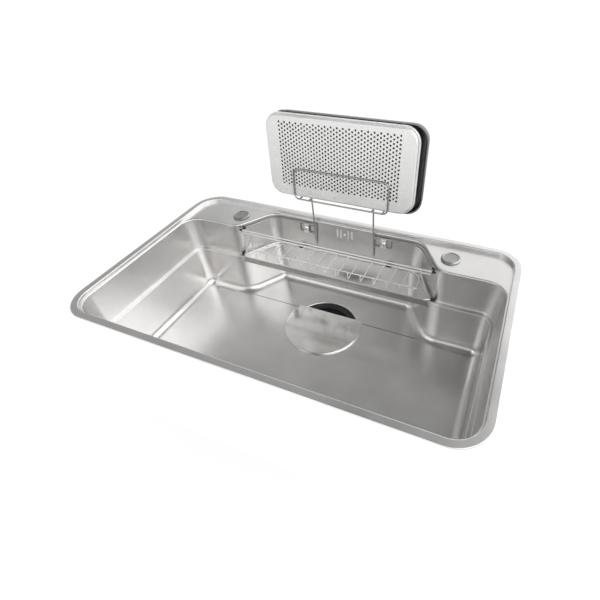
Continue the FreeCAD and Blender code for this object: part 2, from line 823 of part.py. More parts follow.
def cap_washer():
    """Washer below the deck, clear of the cover's spigot."""
    top = -deck_drop - sheet
    centre = V(tap_hole_x, tap_hole_back, 0)
    lower = ring(centre, cap_stud_radius + seat_gap, cap_washer_radius, top - cap_washer_height,
                 top - cap_washer_height / 2, cap_sides)
    upper = ring(centre, cap_spigot_radius + touch_gap, cap_washer_radius, top - cap_washer_height / 2, top,
                 cap_sides)
    return lower.fuse(upper).removeSplitter()


def hexagon(middle, across, rise, normal, height, bore):
    """A hexagon nut standing on the plane through middle, with a corner along rise."""
    side = normal.cross(rise)
    corners = [middle + rise * (across * math.cos(math.radians(60 * i)))
               + side * (across * math.sin(math.radians(60 * i))) for i in range(6)]
    hole = polygon_round(middle, normal, bore, wire_sides)
    face = Part.Face(Part.makePolygon(corners + corners[:1])).cut(Part.Face(Part.makePolygon(hole + hole[:1])))
    return face.extrude(normal * height)


def cap_nut():
    """Nut that pulls the washer up."""
    return hexagon(V(tap_hole_x, tap_hole_back, -deck_drop - sheet - cap_washer_height), cap_nut_radius,
                   ALONG, -UP, cap_nut_height, cap_stud_radius + seat_gap)


# Lines that the bent wires follow
lean = math.radians(lean_degrees)
lean_up = V(0, math.sin(lean), math.cos(lean))
lean_in = V(0, math.cos(lean), -math.sin(lean))
pan_back = tray_depth + pan_gap + pan_depth
front_loop_in = -holder_wire - loop_gap
rear_loop_in = pan_back + holder_wire + loop_gap
bar_up = -holder_wire - seat_gap
leg_y = mouth_y - leg_inset


def cradle(x, up, inwards):
    """A point of the leaning cradle: along the sink, up its slope, and back from the tray's front."""
    return V(x, cradle_front, cradle_base) + lean_up * up + lean_in * inwards


def bay_points(inset, z):
    """Of the bay's right half, moved inwards by inset: back corner, mouth corner, start of the mouth's arc, radius."""
    moved = inset_corners(bowl_corners, inset)
    deck, mouth, back = [V(moved[i][0], moved[i][1], z) for i in (1, 2, 3)]
    return back, mouth, corner_arc(back, mouth, deck, moved[2][2])[0], moved[3][2]


def hoop_end():
    """Where the holder's right side wire ends, and the direction that it points."""
    back, mouth, start, _ = bay_points(hoop_inset, -hoop_depth)
    towards = unit(mouth - start)
    return start + towards * hoop_past_bend, towards


def tray_holder():
    """Two legs with bolting eyes and side wires along the bay, carrying a leaning cradle: one welded wire frame."""
    back, _, _, radius = bay_points(hoop_inset, -hoop_depth)
    end, _ = hoop_end()
    bar_in = (leg_y - cradle_front - bar_up * math.sin(lean)) / math.cos(lean)
    leg_top = cradle(leg_x, bar_up, bar_in)
    leg = rod([V(leg_x, leg_y, -leg_foot_depth), leg_top], holder_wire)
    hoop = rod([V(leg_x, back.y, -hoop_depth), back, end], holder_wire, radius)
    middle, out = wall_frame(leg_x, bolt_depth)
    lie = middle - out * (eye_wire + seat_gap)
    upper = lie + wall_rise * (eye_height / 2)
    lower = lie - wall_rise * (eye_height / 2)
    eye = rod([V(leg_x, leg_y, upper.z), upper + ALONG * eye_jog, upper + ALONG * eye_reach,
               lower + ALONG * eye_reach, lower + ALONG * eye_jog, V(leg_x, leg_y, lower.z)],
              eye_wire, [0, eye_bend, eye_bend, 0])
    bar = rod([cradle(leg_x, bar_up, front_loop_in), cradle(leg_x, bar_up, rear_loop_in)], holder_wire)
    side_x = cradle_half - cradle_bend
    side_bar = rod([cradle(side_x, bar_up, front_loop_in), cradle(side_x, bar_up, rear_loop_in)], holder_wire)
    right = [leg, hoop, eye, bar, side_bar]
    loops = []
    for inwards in (front_loop_in, rear_loop_in):
        corners = [cradle(x, up, inwards) for x, up in (
            (-cradle_half, cradle_height), (-cradle_half, bar_up), (cradle_half, bar_up),
            (cradle_half, cradle_height))]
        loops.append(rod(corners, holder_wire, cradle_bend, True))
    return welded(loops + right + [mirrored(shape) for shape in right])


def holder_tips():
    """Soft caps on the free ends of the holder's side wires."""
    end, towards = hoop_end()
    tip = sleeve(end, towards, holder_wire, tip_wall, tip_length)
    return [tip, mirrored(tip)]


# The holder's clamps stand this far in from the wall, in front of its eyes
clamp_face = -2 * eye_wire - 2 * seat_gap


def holder_clamps():
    """Small plates that press the holder's eyes to the wall."""
    clamp = wall_block(bolt_x, bolt_depth, clamp_width, clamp_height, clamp_face - clamp_thickness, clamp_face)
    clamp = clamp.cut(wall_round(bolt_x, bolt_depth, bolt_radius + touch_gap, clamp_face - overrun, 0))
    return [clamp, mirrored(clamp)]


def holder_bolts():
    """Bolts with low domed heads."""
    face = clamp_face - clamp_thickness
    tail = sheet + bolt_washer_height + bolt_nut_height + bolt_tail
    shank = wall_round(bolt_x, bolt_depth, bolt_radius, face, tail)
    middle, out = wall_frame(bolt_x, bolt_depth)
    crown_radius = bolt_head_radius * bolt_crown_share
    rings = [polygon_round(middle + out * start, out, radius, small_sides) for radius, start in (
        (bolt_head_radius, face), (bolt_head_radius, face - bolt_head_rim), (crown_radius, face - bolt_head_height))]
    head = Part.makeLoft([Part.makePolygon(points + points[:1]) for points in rings], True, True)
    bolt = head.fuse(shank)
    return [bolt, mirrored(bolt)]


def holder_washers():
    """Soft washers that seal the bolt holes from behind."""
    disc = wall_round(bolt_x, bolt_depth, bolt_washer_radius, sheet, sheet + bolt_washer_height)
    washer = disc.cut(wall_round(bolt_x, bolt_depth, bolt_radius + touch_gap, 0, sheet + overrun))
    return [washer, mirrored(washer)]


def holder_nuts():
    """Hexagon nuts behind the wall."""
    middle, out = wall_frame(bolt_x, bolt_depth)
    nut = hexagon(middle + out * (sheet + bolt_washer_height), bolt_nut_radius, ALONG, out, bolt_nut_height,
                  bolt_radius + seat_gap)
    return [nut, mirrored(nut)]


def stood_up(shape, x, inwards, opens_forward):
    """Set a piece drawn flat on z = 0 up in the cradle at x, its base at inwards, its height forwards or backwards."""
    if not opens_forward:
        shape.rotate(V(0, 0, 0), BACK, 180)
    shape.rotate(V(0, 0, 0), ALONG, 90 - lean_degrees)
    shape.translate(cradle(x, 0, inwards))
    return shape


def dish(length, height, depth, corner, wall, rounding, lip, holes):
    """A shallow pressed dish, drawn lying on its closed face, with a lip round its open side."""
    half = length / 2
    corners = ((half, 0, corner), (half, height, corner), (-half, height, corner), (-half, 0, corner))
    section = sheet_section([(0, depth, 0), (lip, depth, 0), (lip, 0, rounding), (lip + rounding, 0, 0)], -wall)
    face = plate(corners, lip + rounding, 0, wall)
    if holes:
        face = face.cut(Part.makeCompound(holes))
    return swept(corners, section).fuse(face).removeSplitter()


def tray_holes():
    """Staggered rows of six-sided holes over the tray's field."""
    rows = round(field_height / (hole_pitch * math.sin(math.radians(60)))) + 1
    columns = round(field_length / hole_pitch)
    row_step = field_height / (rows - 1)
    holes = []
    for row in range(rows):
        shift = hole_pitch / 2 if row % 2 else 0
        for column in range(columns + 1 - row % 2):
            x = column * hole_pitch - columns * hole_pitch / 2 + shift
            y = field_bottom + row * row_step
            holes.append(many_sided([(hole_radius, -overrun), (hole_radius, overrun)], V(x, y, 0), 6))
    return holes


def perforated_tray():
    """Draining tray with its holes at the front and its open side to the back."""
    tray = dish(tray_length, tray_height, tray_depth, tray_corner, tray_sheet, tray_round, tray_lip, tray_holes())
    return stood_up(tray, -tray_left_of_middle, 0, False)


def drip_pan():
    """Closed pan behind the tray, its open side to the front."""
    pan = dish(tray_length + pan_margin, tray_height + pan_margin, pan_depth, tray_corner + pan_margin / 2,
               tray_sheet, pan_round, tray_lip, [])
    return stood_up(pan, pan_right_of_middle, pan_back, True)


# Lines of the lift-out rack
ring_z = -ledge_depth + foot_radius + seat_gap
ring_back, ring_front, _, ring_back_radius = bay_points(ring_inset, ring_z)
grid_z = ring_z + ring_wire + grid_wire + touch_gap
upright_y = ring_front.y + upright_back
# The rail runs just in front of the caps on the holder's side wires
rail_y = hoop_end()[0].y - 2 * (holder_wire + tip_wall) - rail_tip_clearance
rim_wire_y = upright_y + grid_wire + holder_wire + touch_gap
post_foot = V(post_x, rim_wire_y, -rim_wire_depth)


def rack_stub():
    """The right stub that carries a front foot: from the ring's bent corner out over the ledge."""
    _, corner, _ = corner_arc(V(0, ring_front.y, ring_z), ring_front, ring_back, ring_front_bend)
    centre_x, centre_y = bay_mouth_arc_centre()
    away = unit(V(centre_x, centre_y, ring_z) - ring_front)
    foot_end = V(centre_x, centre_y, ring_z) - away * (bay_mouth_radius + foot_end_inset)
    return corner, foot_end


def bay_mouth_arc_centre():
    """Middle of the re-entrant arc at the bay's right mouth corner."""
    before, corner, after = [V(x, y, 0) for x, y, _ in bowl_corners[1:4]]
    start, _, _ = corner_arc(before, corner, after, bay_mouth_radius)
    return start.x, start.y + bay_mouth_radius


def rack_frame():
    """Ring that follows the bay at ledge height, with posts, sloping legs and two rails across the front."""
    corners = [ring_front, ring_back, V(-ring_back.x, ring_back.y, ring_z), V(-ring_front.x, ring_front.y, ring_z)]
    hoop = rod(corners, ring_wire, [ring_front_bend, ring_back_radius, ring_back_radius, ring_front_bend], True)
    stub_start, stub_end = rack_stub()
    stub = rod([stub_start, stub_end], ring_wire)
    rail = V(post_x, rail_y, -rail_depth)
    lower = V(post_x, rail_y, -lower_rail_depth)
    post = rod([rail, lower, post_foot], holder_wire)
    leg = rod([lower, stub_start + (stub_end - stub_start) * leg_share], holder_wire)
    right = [stub, post, leg]
    rails = [rod([V(-rail_half, rail_y, -rail_depth), V(rail_half, rail_y, -rail_depth)], holder_wire),
             rod([V(-lower_rail_half, rail_y, -lower_rail_depth), V(lower_rail_half, rail_y, -lower_rail_depth)],
                 holder_wire)]
    rim_wire = rod([V(-post_x, rim_wire_y, -rim_wire_depth), V(post_x, rim_wire_y, -rim_wire_depth)], holder_wire)
    return welded([hoop, rim_wire] + rails + right + [mirrored(shape) for shape in right])


def ring_y(x):
    """How far back the ring lies at x: its back wire, or the sloping sides towards the front."""
    if abs(x) < ring_back.x:
        return ring_back.y
    slope = (ring_front.y - ring_back.y) / (ring_front.x - ring_back.x)
    return ring_back.y + slope * (abs(x) - ring_back.x)


def rack_grid():
    """Thin cross wires that lie on the ring and turn up at the front."""
    wires = []
    for i in range(grid_count):
        x = (i - (grid_count - 1) / 2) * grid_pitch
        wires.append(rod([V(x, ring_y(x), grid_z), V(x, upright_y, grid_z), V(x, upright_y, -rim_wire_depth)],
                         grid_wire, 0))
    return wires


def rack_apron():
    """Flat strip hung in front of the ring's front wire, a little longer at its foot."""
    face_y = ring_front.y - ring_wire - touch_gap
    top = ring_z + ring_wire
    corners = [V(-apron_half, face_y, top), V(-apron_half - apron_flare, face_y, top - apron_height),
               V(apron_half + apron_flare, face_y, top - apron_height), V(apron_half, face_y, top)]
    return Part.Face(Part.makePolygon(corners + corners[:1])).extrude(-BACK * apron_thickness)


def rack_feet():
    """Soft sleeves that stand the rack on the ledge: two at the front, two at the back."""
    start, end = rack_stub()
    front = sleeve(end, unit(end - start), ring_wire, foot_radius - ring_wire, foot_length)
    middle = V(rear_foot_x, ring_back.y, ring_z)
    half = ALONG * (rear_foot_length / 2)
    rear = tube(middle - half, middle + half, foot_radius, ring_wire + touch_gap)
    return [front, mirrored(front), rear, mirrored(rear)]


def rack_tips():
    """Soft caps on the ends of the upper rail."""
    tip = sleeve(V(rail_half, rail_y, -rail_depth), ALONG, holder_wire, tip_wall, tip_length)
    return [tip, mirrored(tip)]


os.makedirs("parts", exist_ok=True)
export("sink_bowl", sink_bowl())
export("rim_seal", rim_seal())
export("clip_brackets", *[placed(clip_bracket(), *place) for place in clip_places.values()])
for clip, place in clip_places.items():
    export(clip, *[placed(piece, *place) for piece in clip_jaw_and_screw()])
export("sound_pads", *sound_pads())
export("drain_gasket", drain_gasket())
export("drain_body", drain_body())
export("drain_under_gasket", drain_under_gasket())
export("drain_nut", drain_nut())
export("strainer_basket", strainer())
export("drain_cover", drain_cover())
export("cover_feet", *cover_feet())
export("overflow_gasket", overflow_gasket())
export("overflow_box", overflow_box())
export("overflow_screw", overflow_screw())
export("tap_hole_caps", tap_hole_cap(), mirrored(tap_hole_cap()))
export("cap_seals", cap_seal(), mirrored(cap_seal()))
export("cap_washers", cap_washer(), mirrored(cap_washer()))
export("cap_nuts", cap_nut(), mirrored(cap_nut()))
export("tray_holder", tray_holder())
export("holder_tips", *holder_tips())
export("holder_clamps", *holder_clamps())
export("holder_bolts", *holder_bolts())
export("holder_washers", *holder_washers())
export("holder_nuts", *holder_nuts())
export("rack_frame", rack_frame())
export("rack_grid", *rack_grid())
export("rack_apron", rack_apron())
export("rack_feet", *rack_feet())
export("rack_tips", *rack_tips())
export("perforated_tray", perforated_tray())
export("drip_pan", drip_pan())
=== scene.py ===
"""Looks of a pressed stainless steel kitchen sink with a lift-out wire rack, a tray holder and a wide drain.

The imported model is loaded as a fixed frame. Shapes are worked out in millimetres about the middle of the
rim, with z = 0 on the rim's top, and go into the row's frame, in metres, when their mesh is made.
"""

import math

import bmesh
import bpy
import numpy as np
from mathutils import Matrix, Vector
from mathutils.geometry import tessellate_polygon


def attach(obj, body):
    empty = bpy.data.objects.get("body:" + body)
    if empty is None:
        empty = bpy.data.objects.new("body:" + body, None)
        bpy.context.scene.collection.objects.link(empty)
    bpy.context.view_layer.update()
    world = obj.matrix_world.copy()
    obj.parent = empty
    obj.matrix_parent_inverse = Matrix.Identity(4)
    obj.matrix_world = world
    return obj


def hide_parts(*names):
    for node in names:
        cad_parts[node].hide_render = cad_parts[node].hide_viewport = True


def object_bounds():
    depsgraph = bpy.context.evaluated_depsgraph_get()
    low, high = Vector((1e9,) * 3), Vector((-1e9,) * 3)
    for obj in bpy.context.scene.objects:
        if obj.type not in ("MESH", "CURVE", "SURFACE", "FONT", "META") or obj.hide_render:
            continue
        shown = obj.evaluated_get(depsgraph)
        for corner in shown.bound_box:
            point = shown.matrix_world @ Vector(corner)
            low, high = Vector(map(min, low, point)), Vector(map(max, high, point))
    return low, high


bl_info = {
    "name": "Kitchen Sink",
    "version": (1, 0, 0),
    "blender": (4, 5, 0),
    "location": "View3D > Sidebar > Sink",
    "description": "Pressed steel sink with its drain, rack, tray holder, tray and pan",
    "category": "Object",
}

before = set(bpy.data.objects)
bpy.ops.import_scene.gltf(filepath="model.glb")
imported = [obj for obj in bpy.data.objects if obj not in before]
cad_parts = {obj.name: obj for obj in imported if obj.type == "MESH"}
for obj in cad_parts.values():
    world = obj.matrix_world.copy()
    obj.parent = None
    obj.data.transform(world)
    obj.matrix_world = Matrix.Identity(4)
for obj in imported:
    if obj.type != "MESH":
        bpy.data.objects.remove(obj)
cad_box = [[float(value) for value in corner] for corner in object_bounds()]

# The rim's middle in the row's frame, in millimetres
RIM_MIDDLE = np.array((0.0, 245.0, 3.8))

# Gaps at a seat that opens, and between a wire and what is welded to it or pushed over it
SEAT_GAP = 0.3
CLOSE_GAP = 0.05

# Pressed sheet
SHEET = 1.2
RIM_HALF = (425.0, 251.0)
RIM_CORNER = 65.0
RIM_FLAT = 15.0
RIM_ROUNDS = (1.5, 2.2, 0.45)
LIP = 3.2
DECK_Z = -8.0
DECK_FRONT_Y = 140.0
DECK_EDGE = 0.5
MOUTH_HALF = (406.0, 232.0)
MOUTH_ROUND = 3.0
MOUTH_EDGE = 0.3
STEP_GAP = 4.0
LEDGE_Z = -94.0
LEDGE_OUT = 6.0
LEDGE_IN = 16.0
LEDGE_ROUNDS = (2.0, 2.2)
WALL_TOP = MOUTH_ROUND - DECK_Z
WALL_SLOPE = LEDGE_OUT / (-LEDGE_Z - WALL_TOP)
FLOOR_Z = -210.0
FLOOR_IN = 19.0
FLOOR_ROUND = 20.0
FLOOR_EDGE = 1.0

# Corners of the bowl's mouth as x, y and radius, from the front right one round to the front left one
BAY_MOUTH_HALF = 262.0
BAY_MOUTH_ROUND = 40.0
BAY_BACK_HALF = 201.0
RIGHT_CORNERS = (
    (MOUTH_HALF[0], -MOUTH_HALF[1], 46.0),
    (MOUTH_HALF[0], DECK_FRONT_Y, 42.0),
    (BAY_MOUTH_HALF, DECK_FRONT_Y, BAY_MOUTH_ROUND),
    (BAY_BACK_HALF, MOUTH_HALF[1], 45.0),
)
BOWL_CORNERS = (*RIGHT_CORNERS, *[(-x, y, radius) for x, y, radius in reversed(RIGHT_CORNERS)])
BACK_RUN = len(RIGHT_CORNERS) - 1
BACK_RUN_HALF = 176.5
BAY_TURN = math.radians(56.46)

# The floor rises towards its edges from the drain, and the walls' feet rise with it up to a height
FALL_FADE = 25.0
FALL_TOP = -190.0
FALL_SPAN = 20.0
FLOOR_ROWS = 40
OUTER_STRIDE = 8

# A crease pressed into the floor along the bay's mouth, whose fold is drawn as a line of painted shade: the
# painted
#  shade is full within the first half size of each pair and gone past the second
CREASE_Y = 112.0
CREASE_HALF_RUN = (225.0, 245.0)
CREASE_HALF_WIDTH = (0.5, 1.6)
CREASE_HALF_HEIGHT = (4.0, 6.0)
CREASE_PAINTED_SHADE = "#6E6D6B"

# The sheet's outer side, whose faces carry this mark: it is a little rougher, and its colour is darkened as
# painted shade
OUTER_SIDE = "outer_side"
OUTSIDE_PAINTED_SHADE = "#A5A4A2"
OUTSIDE_ROUGHER = 0.12

# Overflow slots in the back wall, each in a cell of the bowl's grid
SLOT_MIDDLES = (-20.0, -10.0, 10.0, 20.0)
SLOT_CELL_HALF = 5.0
SLOT_SIDES = sorted({middle + side for middle in SLOT_MIDDLES for side in (-SLOT_CELL_HALF, SLOT_CELL_HALF)})
SLOT_HALF_WIDTH = 2.5
SLOT_HALF_RUN = 10.5
SLOT_DEPTH = 33.0
SLOT_POINTS = 18
BACK_STOPS = (40.0, 60.0, 90.0, 120.0, 150.0)
PANEL_TOP = 16.0
PANEL_LOW = 50.0

# Seal under the rim: its inner and outer insets, its foot and its eased edge
SEAL_INSETS = (2.0, 10.0)
SEAL_Z = -3.8
SEAL_EASE = 0.5

# White card in front of the rim
CARD_UNDER_RIM = 0.8
CARD_OUT = 110.0
CARD_Z = -2.6
CARD_BACK_Y = -150.0

# Drain well
DRAIN = np.array((0.0, 74.0, 0.0))
WELL_RADIUS = 84.0
WELL_ROUND = 3.0
WELL_EDGE = 3.0
SEAT_Z = -222.0
SEAT_HOLE = 72.0
SEAT_ROUND = 0.8

# Drain cover: a disc with a chord cut off behind, and three pads
COVER_RADIUS = 98.0
COVER_CHORD = 43.0
COVER_SOFT = 3.0
COVER_FOOT = FLOOR_Z + SEAT_GAP
COVER_TOP = COVER_FOOT + 4.0
COVER_SHEET = 1.5
COVER_ROUND = 1.3
COVER_ARC_ENDS = (-205.0, 25.0, 155.0)
COVER_STEPS = (116, 60)
COVER_RINGS = 13
COVER_EDGE_RUN = 3.0
PAD_ANGLES = (200.0, 270.0, 340.0)
PAD_OUT = 90.0
PAD_CORNERS = ((0.0, 0.0, 0.0), (4.9, 0.0, 0.6), (4.9, 2.5, 0.4), (0.0, 2.5, 0.0))

# Turned pieces of the drain: radius, height and rounding of each corner, or a ring's inner and outer
# radius, foot, top and roundings
DRAIN_BODY = (
    (83.4, -216.0, 1.2), (83.4, -220.0, 0.3), (71.5, -220.0, 1.0), (71.5, -308.0, 5.0), (25.0, -322.0, 1.5),
    (25.0, -364.0, 0.6), (21.5, -364.0, 0.6), (21.5, -320.0, 2.0), (64.0, -305.0, 4.0), (64.0, -224.0, 0.5),
    (68.5, -224.0, 0.4), (68.5, -216.0, 1.5),
)
DRAIN_INLET = ((0.0, 64.2, 0.0), (10.0, 64.2, 0.0), (10.0, 93.5, 0.4), (8.0, 93.5, 0.4), (8.0, 72.0, 0.0),
               (0.0, 72.0, 0.0))
INLET_Z = -256.0
DRAIN_GASKET = (71.6, 80.5, -222.0, -220.0, (0.5, 0.5, 0.5, 0.5))
DRAIN_UNDER = (71.6, 86.5, -226.2, -223.2, (0.7, 0.7, 0.7, 0.7))
DRAIN_NUT = (71.6, 86.3, -240.2, -226.2, (0.8, 1.5, 1.0, 0.8))
NUT_LUGS = 6
LUG_OUT = 88.5
LUG_Z = -233.2
LUG_HALF = (4.0, 3.0, 6.8)
LUG_EASE = 1.0

# Strainer basket: twelve slots in five-step sectors, six floor holes, and its skins' radii and heights
STRAINER_SECTORS = 12
STRAINER_STEPS = (-2.3, 2.3, 8.6, 15.0, 21.4)
STRAINER_HOLE_ROW = 1
STRAINER_SLOT_ROW = 5
STRAINER_OUTER = ((0, -282.0), (24.0, -282.0), (38.0, -282.0), (56.6, -282.0), (57.7, -281.0), (59.1, -268.0),
                  (62.2, -238.0), (63.7, -224.0), (68.0, -224.0), (68.2, -221.3), (67.9, -221.0))
STRAINER_INNER = ((0, -280.0), (24.0, -280.0), (38.0, -280.0), (54.8, -280.0), (55.7, -279.0), (57.1, -268.0),
                  (60.2, -238.0), (61.7, -224.5), (61.9, -222.0), (62.4, -221.0), (62.9, -221.0))
STRAINER_KNOB = ((0.0, -281.0, 0.0), (4.3, -281.0, 0.0), (4.3, -226.0, 3.0), (7.0, -219.0, 2.0),
                 (7.0, -214.0, 2.0), (0.0, -214.0, 0.0))

# Covers on the tap holes, and the overflow's screw, turned from radius, height and rounding of each corner
CAP_MIDDLE = np.array((276.0, 188.0, 0.0))
CAP_CORNERS = (
    (0.0, -4.4, 0.0), (17.0, -4.4, 1.5), (18.3, -3.2, 0.5), (21.5, -5.3, 1.0), (21.5, -7.2, 0.4),
    (16.8, -7.2, 0.0), (16.8, -10.2, 0.3), (15.3, -10.2, 0.3), (15.3, -7.2, 0.0), (4.0, -7.2, 0.5),
    (4.0, -33.2, 0.6), (0.0, -33.2, 0.0),
)
SCREW_CORNERS = ((0.0, 10.0, 0.0), (2.0, 10.0, 0.0), (2.0, 0.0, 0.0), (4.0, 0.0, 0.2), (4.0, -0.8, 0.4),
                 (2.6, -1.6, 0.5), (0.9, -1.6, 0.0), (0.9, -0.7, 0.0), (0.0, -0.7, 0.0))

# Tray holder's cradle: it leans back with the tray and pan in it
LEAN = math.radians(6.5)
CRADLE = np.array((0.0, 213.0, 62.0))
LEAN_UP = np.array((0.0, math.sin(LEAN), math.cos(LEAN)))
LEAN_IN = np.array((0.0, math.cos(LEAN), -math.sin(LEAN)))
CRADLE_GAP = 0.4
TRAY_X = -5.0
PAN_X = 8.0
PAN_BACK = 41.0

# The tray and the pan: length, height, corner, depth and the rounding of the face's edge
TRAY = (360.0, 188.0, 34.0, 12.0, 4.0)
PAN = (364.0, 192.0, 36.0, 26.0, 8.3)
DISH_SHEET = 1.0
DISH_LIP = 3.0
DISH_LIP_ROUND = 1.2
DISH_EDGE = 0.4
HOLE_COLUMNS = 41
HOLE_ROWS = 17
HOLE_FIELD = (282.0, 138.0)
HOLE_FIELD_UP = 101.0
HOLE_SIDES = 12

# A wire's open end: its cone's length and its face's width, as shares of the wire's radius
END_CONE = 0.25
END_FACE = 0.75

# Tray holder's wires, tips, bolts and plates
WIRE = 2.0
TIP_WALL = 0.85
TIP_LENGTH = 8.0
LEG_X = 80.0
LEG_IN = 7.2
LEG_FOOT_Z = -75.0
BOLT_X = 106.0
EYE_WIRE = 1.75
EYE_HALF = 11.0
EYE_REACH = (8.0, 45.0)
EYE_ROUNDS = (3.0, 4.0, 4.0, 3.0)
LOOP_HALF = 118.0
LOOP_TOP = 70.0
LOOP_ROUND = 12.0
HOOP_IN = 5.0
HOOP_Z = -18.0
HOOP_PAST = 6.0
PLATE = 1.2
PLATE_HALF = (7.5, 12.5)
PLATE_EASE = 0.35
PLATE_FACE = -2 * EYE_WIRE - 2 * SEAT_GAP
BOLT_RADIUS = 2.5
BOLT_END = 7.2
BOLT_HEAD = ((0.0, -3.6, 0.0), (3.4, -3.5, 2.5), (6.3, -1.4, 0.8), (6.5, 0.0, 0.2))

# Lift-out rack
RING_WIRE = 2.25
RING_IN = 13.5
RING_FRONT_ROUND = 10.0
SLEEVE_WALL = 1.2
SLEEVE_LENGTH = 9.0
SLEEVE_HALF = 7.0
SLEEVE_ROUNDS = (0.5, 0.2, 0.2, 0.5)
REAR_SLEEVE_X = 124.0
SLEEVE_RADII = (RING_WIRE + CLOSE_GAP, RING_WIRE + CLOSE_GAP + SLEEVE_WALL)
STUB_PAST = 9.0
RAILS = ((254.0, -18.0), (244.0, -26.0))
RAIL_GAP = 1.3
POST_X = 220.0
LEG_SHARE = 0.3
RACK_RIM_Z = -68.0
THIN_WIRE = 1.5
THIN_WIRES = 14
THIN_PITCH = 32.5
THIN_ROUND = 3.0
THIN_IN = 4.0
APRON_HALF = 246.0
APRON_FLARE = 6.0
APRON_HEIGHT = 16.0
APRON_SHEET = 1.5
APRON_ROUND = 0.6
APRON_STATIONS = 25

# The back wall leans a little, and the bolts and the overflow lie square to it
WALL_OUT = np.array((0.0, 1.0, -WALL_SLOPE)) / math.hypot(1.0, WALL_SLOPE)
WALL_UP = np.array((0.0, WALL_SLOPE, 1.0)) / math.hypot(1.0, WALL_SLOPE)
ALONG = np.array((1.0, 0.0, 0.0))

# Size of the mottle in moulded pieces; the noise's cells are a sixtieth of a metre
MOTTLE_MM = 1000.0 / 60.0

# Backdrop: its own light and that light's share, its half size and its gap under the part in millimetres
BACKDROP_GLOW = 1.04
BACKDROP_SHARE = 0.85
BACKDROP_HALF = 2e4
BACKDROP_GAP = 0.5

# Low lamp in front, in metres of the row's frame
LAMP_SIZE = (2.2, 0.8)
LAMP_WATTS = 11.0
LAMP_PLACE = Vector((-0.3, -2.4, 0.35))
LAMP_AIM = Vector((0.0, 0.4, 0.1))

# Camera, as the photograph's lines give it, with its place in millimetres about the rim's middle
CAMERA_PLACE = (363.0, -543.0, 539.0)
CAMERA_RIGHT = Vector((0.92159, 0.38627, -0.03835))
CAMERA_DOWN = Vector((0.23833, -0.64107, -0.72954))
CAMERA_AHEAD = Vector((-0.30638, 0.66320, -0.68286))
PICTURE = 600.0
FOCAL_SHARE = 399.5 / PICTURE
SHIFT_SHARE = -50.0 / PICTURE
SENSOR = 36.0


def linear(code):
    """A colour's sRGB hex value as linear red, green, blue and an alpha of one."""
    values = np.array([int(code[i:i + 2], 16) for i in (1, 3, 5)]) / 255.0
    curve = np.where(values <= 0.04045, values / 12.92, ((values + 0.055) / 1.055) ** 2.4)
    return (*curve.tolist(), 1.0)


def unit(vectors):
    """Vectors divided by their lengths."""
    vectors = np.asarray(vectors, float)
    return vectors / np.linalg.norm(vectors, axis=-1, keepdims=True)


def grid_faces(rows, columns, wrap_rows=False, wrap_columns=True):
    """Quads of a grid of points: each point, the next in its row, and those two in the next row."""
    r = np.arange(rows if wrap_rows else rows - 1)[:, None]
    c = np.arange(columns if wrap_columns else columns - 1)[None, :]
    below = (r + 1) % rows
    beside = (c + 1) % columns
    return np.stack([r * columns + c, r * columns + beside, below * columns + beside, below * columns + c],
                    -1).reshape(-1, 4)


def joined(shapes):
    """Several (points, faces) shapes as one, each one's faces shifted past the points before it."""
    points, polygons, count = [], [], 0
    for some_points, some_faces in shapes:
        points.append(np.asarray(some_points, float).reshape(-1, 3))
        polygons.extend([int(i) + count for i in face] for face in some_faces)
        count += len(points[-1])
    return np.vstack(points), polygons


def mirrored(shape):
    """The shape with x turned to minus x."""
    points, faces = shape
    return np.asarray(points, float).reshape(-1, 3) * (-1.0, 1.0, 1.0), faces


def add_piece(name, shape, body, slot, replaced, sharp=40.0, finish=None, weighted=False):
    """Make a piece's mesh from points in millimetres: shift by the rim's middle, divide by a thousand,
    merge doubles, point the faces outwards, and shade smooth with edges sharp past the angle. Its finish is
    its slot's, or a named one."""
    points, polygons = shape
    mesh = bpy.data.meshes.new(name)
    mesh.from_pydata(((np.asarray(points, float).reshape(-1, 3) + RIM_MIDDLE) / 1000.0).tolist(), [],
                     polygons.tolist() if isinstance(polygons, np.ndarray) else polygons)
    shell = bmesh.new()
    shell.from_mesh(mesh)
    bmesh.ops.remove_doubles(shell, verts=shell.verts, dist=2e-6)
    bmesh.ops.recalc_face_normals(shell, faces=shell.faces)
    shell.to_mesh(mesh)
    shell.free()
    mesh.shade_smooth()
    mesh.set_sharp_from_angle(angle=math.radians(sharp))
    mesh.materials.append(finishes[finish or slot])
    piece = bpy.data.objects.new(name, mesh)
    bpy.context.scene.collection.objects.link(piece)
    if weighted:
        smoothing = piece.modifiers.new("Weighted normals", "WEIGHTED_NORMAL")
        smoothing.keep_sharp = True
        smoothing.weight = 80
    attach(piece, body)
    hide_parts(replaced)
    return piece


def bent_path(points, radii, steps=8, closed=False):
    """Straight runs with each corner rounded: from the corner minus run times tan(half turn) along one
    side, the arc is its centre plus radius times (sin t along the run, minus cos t across it), t from 0 to
    the turn."""
    corners = [np.asarray(point, float) for point in points]
    if closed:
        middle = (corners[-1] + corners[0]) / 2
        corners = [middle, *corners, middle]
    path = [corners[0][None]]
    for before, corner, after, radius in zip(corners, corners[1:], corners[2:], radii):
        along = unit(corner - before)
        onward = unit(after - corner)
        turn = math.acos(float(np.clip(along @ onward, -1, 1)))
        if not radius or turn < 1e-4:
            path.append(corner[None])
            continue
        across = unit(onward - along * (along @ onward))
        start = corner - along * (radius * math.tan(turn / 2))
        t = np.linspace(0, turn, steps + 1)[:, None]
        path.append(start + across * radius + radius * (np.sin(t) * along - np.cos(t) * across))
    if not closed:
        path.append(corners[-1][None])
    return np.vstack(path)[1 if closed else 0:]


def rounded_line(corners, steps, closed=False):
    """The path through (across, up, rounding) corners; an open path's two ends have no rounding."""
    rounded = corners if closed else corners[1:-1]
    return bent_path([corner[:2] for corner in corners], [corner[2] for corner in rounded], steps, closed)


